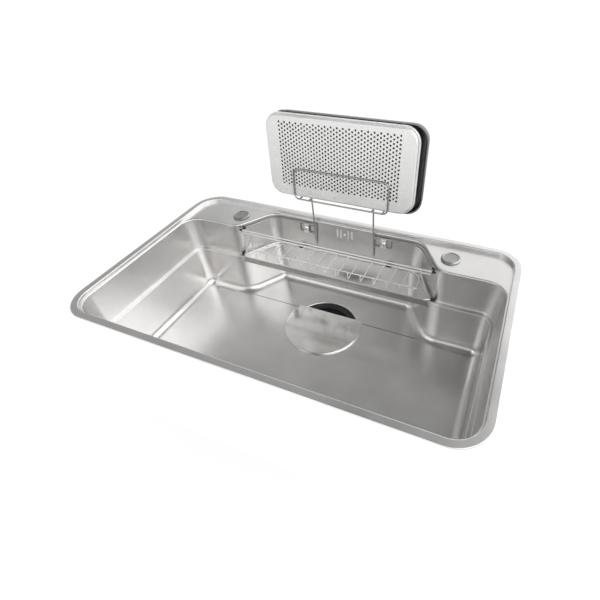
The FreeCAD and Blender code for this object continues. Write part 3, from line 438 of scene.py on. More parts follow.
def rectangle(half, low, high, radius):
    """Corners of a rectangle from minus half to half across and from low to high, all with one radius."""
    return [(half, low, radius), (half, high, radius), (-half, high, radius), (-half, low, radius)]


def outline(corners, arc_turn=6.0, run=30.0, stops=None):
    """Base points and inward normals round a polygon with rounded corners. On an arc the normal is the left
    side of the run before it turned by t, and the point is the arc's centre minus the normal times the
    radius, with the turn's sign; on a straight run points are spaced evenly or lie at given x values."""
    corners = np.array(corners, float)
    spots, radii = corners[:, :2], corners[:, 2]
    along = unit(spots - np.roll(spots, 1, 0))
    onward = np.roll(along, -1, 0)
    turn = np.arctan2(along[:, 0] * onward[:, 1] - along[:, 1] * onward[:, 0], (along * onward).sum(1))
    sign = np.sign(turn)
    reach = (radii * np.tan(np.abs(turn) / 2))[:, None]
    left = np.stack([-along[:, 1], along[:, 0]], 1)
    starts, ends = spots - along * reach, spots + onward * reach
    centres = starts + left * (radii * sign)[:, None]
    points, normals = [], []
    for i in range(len(corners)):
        t = np.linspace(0, turn[i], max(2, round(abs(math.degrees(turn[i])) / arc_turn)) + 1)[:, None]
        normal = left[i] * np.cos(t) - along[i] * np.sin(t)
        points.append(centres[i] - normal * radii[i] * sign[i])
        normals.append(normal)
        after = starts[(i + 1) % len(corners)]
        length = np.linalg.norm(after - ends[i])
        if stops and i in stops:
            share = (np.array(stops[i]) - ends[i][0]) / (after[0] - ends[i][0])
        else:
            count = max(1, round(length / run))
            share = np.arange(1, count) / count
        points.append(ends[i] + (after - ends[i]) * share[:, None])
        normals.append(np.repeat(np.array([[-onward[i][1], onward[i][0]]]), len(share), 0))
    return np.vstack(points), np.vstack(normals)


def offset_line(line, distance):
    """A section line moved to its right: each point plus the right side of its mean direction times the
    distance over the cosine of half the turn there."""
    runs = unit(np.diff(line, axis=0))
    before = np.vstack([runs[:1], runs])
    after = np.vstack([runs, runs[-1:]])
    mean = unit(before + after)
    right = np.stack([mean[:, 1], -mean[:, 0]], 1)
    return line + right * (distance / np.maximum((mean * before).sum(1), 0.3))[:, None]


def swept(base, normals, section, closed=True):
    """A section of (inset, z) points carried round an outline: base plus normal times inset, at height z."""
    section = np.asarray(section, float)
    flat = base[None] + normals[None] * section[:, 0, None, None]
    heights = np.repeat(section[:, 1, None, None], len(base), 1)
    return np.concatenate([flat, heights], -1).reshape(-1, 3), grid_faces(len(section), len(base), closed)


def turned(profile, centre, sides=72, closed=False, axis=(0, 0, 1)):
    """A body of revolution: each (radius, height) point goes round the axis, centre + radius * (cos a side
    + sin a rise) + height * axis."""
    profile = np.asarray(profile, float)
    axis = unit(np.array(axis, float))
    helper = np.array((0.0, 0.0, 1.0)) if abs(axis[2]) < 0.9 else np.array((1.0, 0.0, 0.0))
    side = unit(np.cross(helper, axis))
    rise = np.cross(axis, side)
    a = np.linspace(0, 2 * math.pi, sides, endpoint=False)[None, :, None]
    spokes = np.cos(a) * side + np.sin(a) * rise
    points = np.asarray(centre, float) + profile[:, 0, None, None] * spokes + profile[:, 1, None, None] * axis
    return points.reshape(-1, 3), grid_faces(len(profile), sides, closed)


def ring_section(first, second, foot, top, rounds, steps):
    """A flat ring's closed section: a rectangle between two radii and two heights, its corners rounded."""
    corners = [(first, foot), (second, foot), (second, top), (first, top)]
    return bent_path(corners, rounds, steps, True)


def round_bar(path, radius, sides=14, closed=False):
    """A round wire along a path in nearly one plane: at each path point, radius * (cos a side + sin a rise)
    about it, where side is the plane's normal made square to the path. Open ends close in a low cone to a
    point."""
    path = np.asarray(path, float)
    if closed:
        ahead = np.roll(path, -1, 0) - path
        tangents = unit(unit(ahead) + unit(np.roll(ahead, 1, 0)))
        radii = np.full(len(path), radius)
    else:
        runs = unit(np.diff(path, axis=0))
        tangents = unit(np.vstack([runs[:1], runs]) + np.vstack([runs, runs[-1:]]))
        low = path[0] + tangents[0] * radius * END_CONE
        high = path[-1] - tangents[-1] * radius * END_CONE
        path = np.vstack([path[0], path[0], low, path[1:-1], high, path[-1], path[-1]])
        tangents = np.vstack([tangents[:1], tangents[:1], tangents[:1], tangents[1:-1], tangents[-1:],
                              tangents[-1:], tangents[-1:]])
        radii = np.full(len(path), radius)
        radii[[0, -1]] = 0
        radii[[1, -2]] = radius * END_FACE
    plane = np.linalg.svd(path - path.mean(0))[2][2]
    side = unit(plane - tangents * (tangents @ plane)[:, None])
    rise = np.cross(tangents, side)
    a = np.linspace(0, 2 * math.pi, sides, endpoint=False)[None, :, None]
    points = path[:, None] + radii[:, None, None] * (np.cos(a) * side[:, None] + np.sin(a) * rise[:, None])
    return points.reshape(-1, 3), grid_faces(len(path), sides, closed)


def cradle(x, up, inwards):
    """A point of the leaning cradle: along the sink, up its slope, and back from the tray's front."""
    return CRADLE + np.array((x, 0.0, 0.0)) + LEAN_UP * up + LEAN_IN * inwards


def wall_inset(depth):
    """The wall's inset from the mouth's outline at a depth: its slope times the depth below its top."""
    return WALL_SLOPE * (depth - WALL_TOP)


def on_wall(x, depth, out=0.0):
    """A point of the back wall's inner face at a depth below the rim, moved outwards through the wall."""
    return np.array((x, MOUTH_HALF[1] - wall_inset(depth), -depth)) + WALL_OUT * out


def bay_corners(inset):
    """The bay's right back corner, mouth corner and back arc's radius, with the outline moved inwards."""
    spots = np.array(BOWL_CORNERS)[:, :2]
    moved = []
    for i in (2, 3):
        along = unit(spots[i] - spots[i - 1])
        onward = unit(spots[i + 1] - spots[i])
        left = np.array((-along[1], along[0]))
        left_on = np.array((-onward[1], onward[0]))
        moved.append(spots[i] + (left + left_on) * inset / (1 + left @ left_on))
    return moved[1], moved[0], BOWL_CORNERS[3][2] - inset


# Materials: each starts from its real metal or plastic and the way its surface was made; some colours also
# carry painted highlight or painted shade
def add_node(tree, kind, inputs=None, **settings):
    """Add a node, set its properties, and fill its inputs with values or with other nodes' outputs."""
    made = tree.nodes.new(kind)
    for key, value in settings.items():
        setattr(made, key, value)
    for key, value in (inputs or {}).items():
        if isinstance(value, bpy.types.NodeSocket):
            tree.links.new(value, made.inputs[key])
        else:
            made.inputs[key].default_value = value
    return made


def new_material(name):
    """An empty node material, its tree and a place for its surface."""
    material = bpy.data.materials.new(name)
    material.use_nodes = True
    tree = material.node_tree
    tree.nodes.clear()
    return material, tree, add_node(tree, "ShaderNodeOutputMaterial")


def ramp(tree, fac, stops):
    """A colour ramp from (place, hex colour) stops."""
    made = add_node(tree, "ShaderNodeValToRGB", {"Fac": fac})
    elements = made.color_ramp.elements
    while len(elements) < len(stops):
        elements.new(0.5)
    for element, (place, code) in zip(elements, stops):
        element.position = place
        element.color = linear(code)
    return made.outputs["Color"]


def noise(tree, place, size_mm, settings):
    """A noise whose cells are a size across, in millimetres."""
    inputs = {"Vector": place, "Scale": 1000.0 / size_mm, **settings}
    return add_node(tree, "ShaderNodeTexNoise", inputs).outputs["Fac"]


def ranged(tree, value, low, high, inner=0.3, outer=0.7):
    """A value's stretch from inner to outer, which is where most of a noise lies, mapped to low and high."""
    made = add_node(tree, "ShaderNodeMapRange", {"Value": value, "From Min": inner, "From Max": outer,
                                                 "To Min": low, "To Max": high})
    return made.outputs["Result"]


def math_node(tree, operation, *values):
    """One math node's result for up to three values."""
    return add_node(tree, "ShaderNodeMath", dict(enumerate(values)), operation=operation).outputs["Value"]


def crease_line(tree, place):
    """One along the pressed crease that crosses the floor between the bay's two corners, and nothing
    elsewhere. The fold is sharper than the floor's mesh, so the fold's shade is drawn here as painted shade,
    a pixel wide."""
    parts = add_node(tree, "ShaderNodeSeparateXYZ", {"Vector": place})
    line = None
    for axis, middle, (inner, outer) in (("X", RIM_MIDDLE[0], CREASE_HALF_RUN),
                                         ("Y", RIM_MIDDLE[1] + CREASE_Y, CREASE_HALF_WIDTH),
                                         ("Z", RIM_MIDDLE[2] + FLOOR_Z, CREASE_HALF_HEIGHT)):
        away = math_node(tree, "ABSOLUTE", math_node(tree, "SUBTRACT", parts.outputs[axis], middle / 1000.0))
        near = ranged(tree, away, 1.0, 0.0, inner / 1000.0, outer / 1000.0)
        line = near if line is None else math_node(tree, "MULTIPLY", line, near)
    return line


def blend(tree, share, first, second):
    """A colour between two by a share."""
    return add_node(tree, "ShaderNodeMix", {0: share, 6: first, 7: second}, data_type="RGBA").outputs[2]


def steel(name, dark, light, rough_low, rough_high, cloud_mm, grain_mm, stretch, height, with_painted_shade=False):
    """Stainless steel: a pale warm grey metal. Clouds a hand's width across shift its colour and gloss a
    little, and a fine grain, stretched along the way it was rolled or brushed, scatters the light across
    it. The real grain is finer than a pixel, so it is drawn coarser. The bowl's sheet also has the floor's
    crease drawn into its colour as a line of painted shade, and its outer side, which is marked on the
    mesh, is a little rougher and has its colour darkened as painted shade."""
    material, tree, out = new_material(name)
    place = add_node(tree, "ShaderNodeTexCoord").outputs["Object"]
    clouds = noise(tree, place, cloud_mm, {"Detail": 3.0, "Roughness": 0.55})
    stretched = add_node(tree, "ShaderNodeMapping", {"Vector": place, "Scale": stretch,
                                                     "Rotation": (0.31, 0.17, 0.05)}).outputs["Vector"]
    grain = noise(tree, stretched, grain_mm, {"Detail": 4.0, "Roughness": 0.5, "Distortion": 0.4})
    rough = math_node(tree, "MULTIPLY_ADD", grain, 0.04, ranged(tree, clouds, rough_low, rough_high))
    colour = ramp(tree, clouds, [(0.3, dark), (0.7, light)])
    if with_painted_shade:
        # Painted shade: a dark line along the floor's crease
        colour = blend(tree, crease_line(tree, place), colour, linear(CREASE_PAINTED_SHADE))
        # Painted shade: the outer side's colour is darkened; it is also made a little rougher
        outside = add_node(tree, "ShaderNodeAttribute", attribute_name=OUTER_SIDE).outputs["Fac"]
        colour = blend(tree, outside, colour, linear(OUTSIDE_PAINTED_SHADE))
        rough = math_node(tree, "MULTIPLY_ADD", outside, OUTSIDE_ROUGHER, rough)
    bump = add_node(tree, "ShaderNodeBump", {"Strength": height, "Distance": 0.0002, "Height": grain})
    shader = add_node(tree, "ShaderNodeBsdfPrincipled", {
        "Base Color": colour, "Metallic": 1.0, "Roughness": rough, "Normal": bump.outputs["Normal"]})
    tree.links.new(shader.outputs["BSDF"], out.inputs["Surface"])
    return material


def moulded(name, dark, light, rough, grit_mm, height, ior=1.49, sheen=0.0, milky=0.0):
    """A moulded plastic or rubber: an even colour with a slight mottle, and a fine pitted texture from its
    mould that softens the highlights. A natural plastic also lets some light through."""
    material, tree, out = new_material(name)
    place = add_node(tree, "ShaderNodeTexCoord").outputs["Object"]
    mottle = noise(tree, place, MOTTLE_MM, {"Detail": 3.0})
    grit = noise(tree, place, grit_mm, {"Detail": 1.0})
    bump = add_node(tree, "ShaderNodeBump", {"Strength": height, "Distance": 0.0003, "Height": grit})
    shader = add_node(tree, "ShaderNodeBsdfPrincipled", {
        "Base Color": ramp(tree, mottle, [(0.3, dark), (0.7, light)]),
        "Roughness": ranged(tree, mottle, rough - 0.05, rough + 0.05), "IOR": ior, "Sheen Weight": sheen,
        "Transmission Weight": milky, "Normal": bump.outputs["Normal"]})
    tree.links.new(shader.outputs["BSDF"], out.inputs["Surface"])
    return material


def make_materials(colours):
    """All finishes of the sink, by slot, and a few that only one piece has. Each metal's numbers are its
    lowest and highest roughness, the sizes of its clouds and grain in millimetres, the grain's stretch and
    its height."""
    drawn = (0.27, 0.31, 40.0, 3.0, (0.3, 1.0, 1.0), 0.02)
    return {
        # Satin sheet, rolled and pressed: soft broad reflections of wall in wall
        "steel_sheet": steel("satin_pressed_stainless_sheet", colours.sheet_dark, colours.sheet_light,
                             0.268, 0.315, 90.0, 4.0, (0.08, 1.0, 1.0), 0.02, True),
        # Drawn stainless wire, its colour raised near white as a painted highlight: thin white lines before
        # the darker wall
        "steel_wire": steel("stainless_wire_painted_highlight", "#ECECEA", "#F4F4F2", *drawn),
        # The same stainless wire and strip, its colour darkened as painted shade: grey lines before the white
        # tray and backdrop
        "wire_painted_shade": steel("stainless_wire_painted_shade", "#A3A2A0", "#B3B2B0", *drawn),
        # Mirror polish: the cover shows sharp bands of the studio
        "polished_steel": steel("mirror_polished_stainless_disc", "#E6E5E3", "#EEEDEB", 0.10, 0.15, 70.0, 4.0,
                                (1.0, 0.1, 1.0), 0.02),
        # Satin turned covers: grey discs on the paler decks
        "cap_steel": steel("satin_turned_stainless_cap", "#9C9C9A", "#A8A8A6", 0.29, 0.33, 20.0, 3.0,
                           (1.0, 1.0, 1.0), 0.02),
        # Blasted tray: an even pale face behind its dark holes
        "tray_steel": steel("fine_blasted_perforated_sheet", colours.tray_dark, colours.tray_light,
                            0.52, 0.60, 80.0, 4.0, (0.1, 1.0, 1.0), 0.02),
        # The pan's steel, its colour darkened as painted shade: a dark edge behind the pale tray
        "pan_steel_painted_shade": steel("pressed_pan_sheet_painted_shade", "#727274", "#7E7E80", 0.32, 0.40, 60.0, 4.0,
                           (0.1, 1.0, 1.0), 0.03),
        # Zinc plating: cloudy blue-grey clips and nuts
        "zinc_steel": steel("zinc_plated_pressed_steel", "#A3A5A4", "#B4B5B2", 0.34, 0.48, 14.0, 3.0,
                            (1.0, 1.0, 1.0), 0.10),
        # Plastics and rubbers: the drain nearly black, the overflow milky, the pads and seal dull and grey
        "black_plastic": moulded("fine_matt_black_polypropylene", "#161616", "#1E1E1E", 0.42, 1.0, 0.25),
        "grey_plastic": moulded("moulded_natural_polypropylene", "#ECECE9", "#F4F4F1", 0.45, 3.0, 0.10,
                                milky=0.7),
        "black_rubber": moulded("soft_moulded_rubber", "#121212", "#1A1A1A", 0.62, 1.0, 0.30, 1.52, 0.1),
        "seal_foam": moulded("closed_cell_foam_strip", "#252525", "#333333", 0.85, 1.5, 0.80, 1.45, 0.2),
        "pad_rubber": moulded("bitumen_sound_deadening_sheet", "#2B2A29", "#383736", 0.75, 2.5, 0.90, 1.5,
                              0.1),
    }


finishes = {}


def finish_node(node, slot):
    """Give a carried-over solid its finish."""
    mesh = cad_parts[node].data
    if not mesh.materials:
        mesh.materials.append(finishes[slot])
    for place in range(len(mesh.materials)):
        mesh.materials[place] = finishes[slot]


# The bowl
def bowl_outline():
    """The bowl mouth's outline, with stops along the back run where the slots' cells begin and end."""
    stops = sorted([*SLOT_SIDES, *BACK_STOPS, *[-x for x in BACK_STOPS]], reverse=True)
    return outline(BOWL_CORNERS, 5.0, 30.0, {BACK_RUN: stops})


def rim_outline(base, normals):
    """The rim's outer outline, one point for each of the mouth's: straight out along the normal where the
    two run side by side, and on the same ray from the middle round the corner decks."""
    out_base = base - normals * (STEP_GAP + RIM_FLAT)
    out_normals = normals.copy()
    half = np.array(RIM_HALF) - RIM_FLAT
    dense, dense_normals = outline(rectangle(half[0], -half[1], half[1], RIM_CORNER - RIM_FLAT), 1.5, 4.0)
    angles = np.arctan2(dense[:, 1], dense[:, 0])
    order = np.argsort(angles)
    angles, dense, dense_normals = angles[order], dense[order], dense_normals[order]
    x, y = np.abs(base[:, 0]), base[:, 1]
    back_run = (y > MOUTH_HALF[1] - 0.01) & (x < BACK_RUN_HALF)
    decks = (y > DECK_FRONT_Y - RIGHT_CORNERS[1][2] + 0.5) & ~back_run
    rays = np.arctan2(base[decks, 1], base[decks, 0])
    spots = np.stack([np.interp(rays, angles, dense[:, k]) for k in (0, 1)], 1)
    facing = unit(np.stack([np.interp(rays, angles, dense_normals[:, k]) for k in (0, 1)], 1))
    out_base[decks] = spots - facing * RIM_FLAT
    out_normals[decks] = facing
    return out_base, out_normals


def floor_fall(x, y, sizes):
    """How far the floor rises towards its edges: a slow slope forwards, and a steeper one behind a soft
    crease at the bay's mouth, k * w * log(1 + exp((y - crease) / w)), both fading out at the drain."""
    past = np.clip((y - sizes.crease_y) / sizes.crease_width, -40, 40)
    behind = sizes.bay_fall * sizes.crease_width * np.log1p(np.exp(past))
    before = sizes.front_fall * np.maximum(sizes.crease_y - y, 0)
    away = np.clip((np.hypot(x, y - DRAIN[1]) - WELL_RADIUS - WELL_ROUND) / FALL_FADE, 0, 1)
    return (behind + before) * away


def rows_along(line, spots, facing):
    """Rows of points: for each (inset, z) of a section, every spot plus its facing times the inset, at
    height z."""
    flat = spots[None] + facing[None] * line[:, 0, None, None]
    return np.concatenate([flat, np.repeat(line[:, 1, None, None], len(spots), 1)], -1)


def bowl_shape(sizes):
    """The whole pressed sheet as one closed grid. Its rows run from the lip's foot over the rim, step and
    deck, down the wall and ledge, over the floor into the well, and back along the outer side; its columns
    go round."""
    base, normals = bowl_outline()
    rim_base, rim_normals = rim_outline(base, normals)
    count = len(base)
    rim = bent_path([(0, -LIP), (0, 0), (RIM_FLAT, 0), (RIM_FLAT, DECK_Z), (RIM_FLAT + DECK_EDGE, DECK_Z)],
                    RIM_ROUNDS, 5)
    mouth = bent_path([(-MOUTH_ROUND - MOUTH_EDGE, DECK_Z), (wall_inset(-DECK_Z), DECK_Z),
                       (wall_inset(PANEL_TOP), -PANEL_TOP), (wall_inset(PANEL_LOW), -PANEL_LOW),
                       (LEDGE_OUT, LEDGE_Z), (LEDGE_IN, LEDGE_Z), (FLOOR_IN, FLOOR_Z),
                       (FLOOR_IN + FLOOR_ROUND + FLOOR_EDGE, FLOOR_Z)],
                      [MOUTH_ROUND, 0, 0, *LEDGE_ROUNDS, FLOOR_ROUND], 8)
    top_row = len(rim) + int(np.argmin(np.abs(mouth[:, 1] + PANEL_TOP)))
    well = bent_path([(WELL_RADIUS + WELL_ROUND + WELL_EDGE, FLOOR_Z), (WELL_RADIUS, FLOOR_Z),
                      (WELL_RADIUS, SEAT_Z), (SEAT_HOLE, SEAT_Z)], [WELL_ROUND, SEAT_ROUND], 6)
    edge = base + normals * mouth[-1, 0]
    rays = unit(edge - DRAIN[:2])
    middle = np.repeat(DRAIN[None, :2], count, 0)
    share = np.linspace(0, 1, FLOOR_ROWS + 2)[1:-1, None, None]
    flat = edge[None] * (1 - share) + (middle + rays * well[0, 0])[None] * share
    floor = np.concatenate([flat, np.full((*flat.shape[:2], 1), FLOOR_Z)], -1)
    inner = np.concatenate([rows_along(rim, rim_base, rim_normals), rows_along(mouth, base, normals), floor,
                            rows_along(well, middle, rays)])
    low = np.clip((FALL_TOP - inner[..., 2]) / FALL_SPAN, 0, 1) * (inner[..., 2] > FLOOR_Z - 0.5)
    inner[..., 2] += floor_fall(inner[..., 0], inner[..., 1], sizes) * low
    outer_well = offset_line(well, -SHEET)
    outer_well[-1] = (SEAT_HOLE, SEAT_Z - SHEET)
    outer = np.concatenate([rows_along(offset_line(rim, SHEET), rim_base, rim_normals),
                            rows_along(offset_line(mouth, SHEET), base, normals),
                            floor[::OUTER_STRIDE] - (0, 0, SHEET),
                            rows_along(outer_well, middle, rays)])
    grid = np.concatenate([inner, outer[::-1]])
    return slotted(grid, base, top_row)


def slotted(grid, base, top_row):
    """The bowl's grid with its overflow slots: the cells of the four slots are taken out of both skins, and
    each gets panels round a slot, two half circles of nine points a run apart, with a wall between the
    skins."""
    count = len(base)
    outer_top = len(grid) - 1 - top_row
    stop = {x: int(np.argmin(np.hypot(base[:, 0] - x, base[:, 1] - MOUTH_HALF[1]))) for x in SLOT_SIDES}
    keep = np.ones((len(grid), count), bool)
    for x in SLOT_MIDDLES:
        keep[[top_row, outer_top - 1], stop[x + SLOT_CELL_HALF]] = False
    faces = grid_faces(len(grid), count, True)
    polygons = faces[keep.ravel()].tolist()
    points = [grid.reshape(-1, 3)]
    half = SLOT_POINTS // 2
    a = np.concatenate([np.linspace(0, math.pi, half), np.linspace(math.pi, 2 * math.pi, half)])
    lift = np.repeat((SLOT_HALF_RUN, -SLOT_HALF_RUN), half)
    top, low = half // 2, half + half // 2
    left_side = list(range(low, top - 1, -1))
    right_side = [*range(top, -1, -1), *range(SLOT_POINTS - 1, low - 1, -1)]
    i = np.arange(SLOT_POINTS)
    following = (i + 1) % SLOT_POINTS
    start = len(points[0])
    for x in SLOT_MIDDLES:
        right, left = stop[x + SLOT_CELL_HALF], stop[x - SLOT_CELL_HALF]
        for out, upper, lower in ((0.0, top_row, top_row + 1), (SHEET, outer_top, outer_top - 1)):
            points.append(on_wall(x, SLOT_DEPTH, out) + np.outer(SLOT_HALF_WIDTH * np.cos(a), ALONG)
                          + np.outer(SLOT_HALF_WIDTH * np.sin(a) + lift, WALL_UP))
            upper_right, upper_left = upper * count + right, upper * count + left
            lower_right, lower_left = lower * count + right, lower * count + left
            polygons += [[upper_left, lower_left] + [start + k for k in left_side],
                         [lower_right, upper_right] + [start + k for k in right_side],
                         [upper_right, upper_left, start + top], [lower_left, lower_right, start + low]]
            start += SLOT_POINTS
        inner, outer = start - 2 * SLOT_POINTS, start - SLOT_POINTS
        polygons += np.stack([inner + i, inner + following, outer + following, outer + i], 1).tolist()
    return np.vstack(points), polygons


def mark_outside(piece):
    """Mark the bowl's outer skin: below the lip, the faces that don't look up and whose normal points away
    from the middle of the bowl's hollow."""
    mesh = piece.data
    count = len(mesh.polygons)
    normals, centres = np.empty(3 * count), np.empty(3 * count)
    mesh.polygons.foreach_get("normal", normals)
    mesh.polygons.foreach_get("center", centres)
    normals = normals.reshape(-1, 3)
    spots = centres.reshape(-1, 3) * 1000.0 - RIM_MIDDLE
    away = (normals * (spots - (0.0, 0.0, LEDGE_Z))).sum(1) > 0
    outside = away & (normals[:, 2] < 0.3) & (spots[:, 2] < -LIP - SHEET)
    mark = mesh.attributes.new(OUTER_SIDE, "FLOAT", "FACE")
    mark.data.foreach_set("value", outside.astype(np.float32))


def seal_shape():
    """A flat strip round the underside of the rim, a closed four-cornered section with eased edges."""
    base, normals = outline(rectangle(RIM_HALF[0], -RIM_HALF[1], RIM_HALF[1], RIM_CORNER), 6.0, 60.0)
    near, far = SEAL_INSETS
    return swept(base, normals, [(near, SEAL_Z + SEAL_EASE), (near + SEAL_EASE, SEAL_Z),
                                 (far - SEAL_EASE, SEAL_Z), (far, SEAL_Z + SEAL_EASE), (far, -SHEET),
                                 (near, -SHEET)])


# The drain
def cover_shape(sizes):
    """A disc cut straight at the back, whose top rises to a low crown. Its edge stands radius - inset from
    the middle, or (chord - inset) over the sine of the angle where that is nearer, and the two are blended
    by -s * log(exp(-arc / s) + exp(-chord / s))."""
    start, turn, end = COVER_ARC_ENDS
    a = np.radians(np.concatenate([np.linspace(start, turn, COVER_STEPS[0], endpoint=False),
                                   np.linspace(turn, end, COVER_STEPS[1], endpoint=False)]))[None, :]

    def reach(inset):
        """How far the edge, drawn in by the inset, stands from the middle at each angle."""
        inset = np.asarray(inset, float)[:, None]
        chord = np.minimum((COVER_CHORD - inset) / np.maximum(np.sin(a), 0.05), 400)
        arc = COVER_RADIUS - inset + 0 * a
        return -COVER_SOFT * np.log(np.exp(-arc / COVER_SOFT) + np.exp(-chord / COVER_SOFT))

    under = COVER_TOP - COVER_SHEET
    edge = bent_path([(0, COVER_FOOT), (0, COVER_TOP), (COVER_EDGE_RUN, COVER_TOP)], [COVER_ROUND], 5)
    share = np.linspace(1, 0, COVER_RINGS + 1)[1:, None]
    top = reach(edge[:, 0])
    below = reach([COVER_SHEET, COVER_SHEET])
    rings = [(top, edge[:, 1, None]),
             (top[-1] * share, COVER_TOP + sizes.cover_crown * (1 - share ** 2)),
             (below[:1] * share[::-1], under + 0 * share),
             (below, np.array([[under], [COVER_FOOT]]))]
    grid = np.concatenate([np.stack([r * np.cos(a), DRAIN[1] + r * np.sin(a), z + 0 * r], -1)
                           for r, z in rings])
    return grid.reshape(-1, 3), grid_faces(len(grid), a.shape[1], True)


def strainer_shape():
    """A tapered basket: columns go round in sixty steps of unequal width and rows run up, and the cells of
    the slots and floor holes are left out, with walls between its two skins."""
    turn = 360.0 / STRAINER_SECTORS
    a = np.radians((np.arange(STRAINER_SECTORS)[:, None] * turn + STRAINER_STEPS).ravel())
    skins = []
    for skin in (STRAINER_OUTER, STRAINER_INNER):
        line = np.array(skin)
        skins.append(DRAIN + np.stack([line[:, 0, None] * np.cos(a), line[:, 0, None] * np.sin(a),
                                       line[:, 1, None] + 0 * a], -1))
    steps = len(STRAINER_STEPS)
    rows, columns = len(STRAINER_OUTER), len(a)
    size = rows * columns
    gone = np.zeros((rows - 1, columns), bool)
    gone[STRAINER_SLOT_ROW, ::steps] = True
    for first in range(0, columns, 2 * steps):
        gone[STRAINER_HOLE_ROW, [first - 1, first, first + 1]] = True
    cells = grid_faces(rows, columns)
    keep = ~gone.ravel()
    faces = [cells[keep], cells[keep][:, ::-1] + size]
    last = (rows - 1) * columns + np.arange(columns)
    beside = (rows - 1) * columns + (np.arange(columns) + 1) % columns
    faces.append(np.stack([last, beside, beside + size, last + size], 1))
    r, c = np.nonzero(gone)
    for dr, dc, corners in ((-1, 0, (0, 1)), (1, 0, (2, 3)), (0, 1, (1, 2)), (0, -1, (3, 0))):
        border = ~gone[r + dr, (c + dc) % columns]
        quads = cells.reshape(rows - 1, columns, 4)[r[border], c[border]]
        first, second = quads[:, corners[0]], quads[:, corners[1]]
        faces.append(np.stack([first, second, second + size, first + size], 1))
    basket = np.concatenate(skins).reshape(-1, 3), np.vstack(faces)
    return joined([basket, turned(rounded_line(STRAINER_KNOB, 5), DRAIN, 24)])


def drain_shapes():
    """The drain's turned body with its side inlet, two gaskets, and the ring nut with six lugs round it."""
    body = turned(rounded_line(DRAIN_BODY, 5, True), DRAIN, 96, True)
    inlet = turned(rounded_line(DRAIN_INLET, 3), DRAIN + (0, 0, INLET_Z), 32, False, (0, 1, 0))
    gasket, under = [turned(ring_section(*ring, 3), DRAIN, 72, True) for ring in (DRAIN_GASKET, DRAIN_UNDER)]
    nut = turned(ring_section(*DRAIN_NUT, 4), DRAIN, 96, True)
    lugs = []
    for i in range(NUT_LUGS):
        turn = 2 * math.pi * (i + 0.5) / NUT_LUGS
        out = np.array((math.cos(turn), math.sin(turn), 0))
        side = np.array((-math.sin(turn), math.cos(turn), 0))
        lugs.append(eased_block(DRAIN + out * LUG_OUT + (0, 0, LUG_Z), out * LUG_HALF[0], side * LUG_HALF[1],
                                (0, 0, LUG_HALF[2]), LUG_EASE))
    return joined([body, inlet]), gasket, under, joined([nut, *lugs])


def eased_block(middle, half_x, half_y, half_z, ease):
    """A block with rounded upright edges and eased rims: an outline of half sizes carried up along the
    third side, drawn in by the ease at both ends."""
    a, b, c = [float(np.linalg.norm(half)) for half in (half_x, half_y, half_z)]
    side, rise, up = [unit(half) for half in (half_x, half_y, half_z)]
    base, normals = outline(rectangle(a, -b, b, 1.2 * ease), 30.0, 200.0)
    low = [(min(a, b), -c), (ease, -c), (0.3 * ease, -c + 0.3 * ease), (0, -c + ease)]
    levels = low + [(inset, -height) for inset, height in reversed(low)]
    rings = []
    for k, (inset, height) in enumerate(levels):
        flat = base * 0.0 if k in (0, len(levels) - 1) else base + normals * inset
        rings.append(np.asarray(middle, float) + flat[:, :1] * side + flat[:, 1:] * rise + height * up)
    return np.concatenate(rings), grid_faces(len(levels), len(base))


# The tray and the pan
def dish_section(depth, rounding):
    """The line of a dish's outer side from its lip to its face, as (inset, distance from the face) points."""
    corners = [(0.0, depth), (DISH_LIP, depth), (DISH_LIP, 0.0), (DISH_LIP + DISH_EDGE + rounding, 0.0)]
    return bent_path(corners, [DISH_LIP_ROUND, rounding], 8)


def dish_rim(dish):
    """A dish's rim swept round its outline in both skins, and the edge of its face."""
    length, height, corner, depth, rounding = dish
    base, normals = outline(rectangle(length / 2, 0.0, height, corner), 6.0, 40.0)
    line = dish_section(depth, rounding)
    rim, faces = swept(base, normals, np.vstack([offset_line(line, -DISH_SHEET)[::-1], line]), False)
    return rim, faces, base + normals * line[-1, 0]


def stand(points, x, inwards, back_first):
    """Set points drawn flat, with y up and z their distance from the face, into the leaning cradle at x."""
    points = np.asarray(points, float)
    deep = points[:, 2:] if back_first else -points[:, 2:]
    return CRADLE + (points[:, :1] + x) * (1, 0, 0) + points[:, 1:2] * LEAN_UP + (inwards + deep) * LEAN_IN


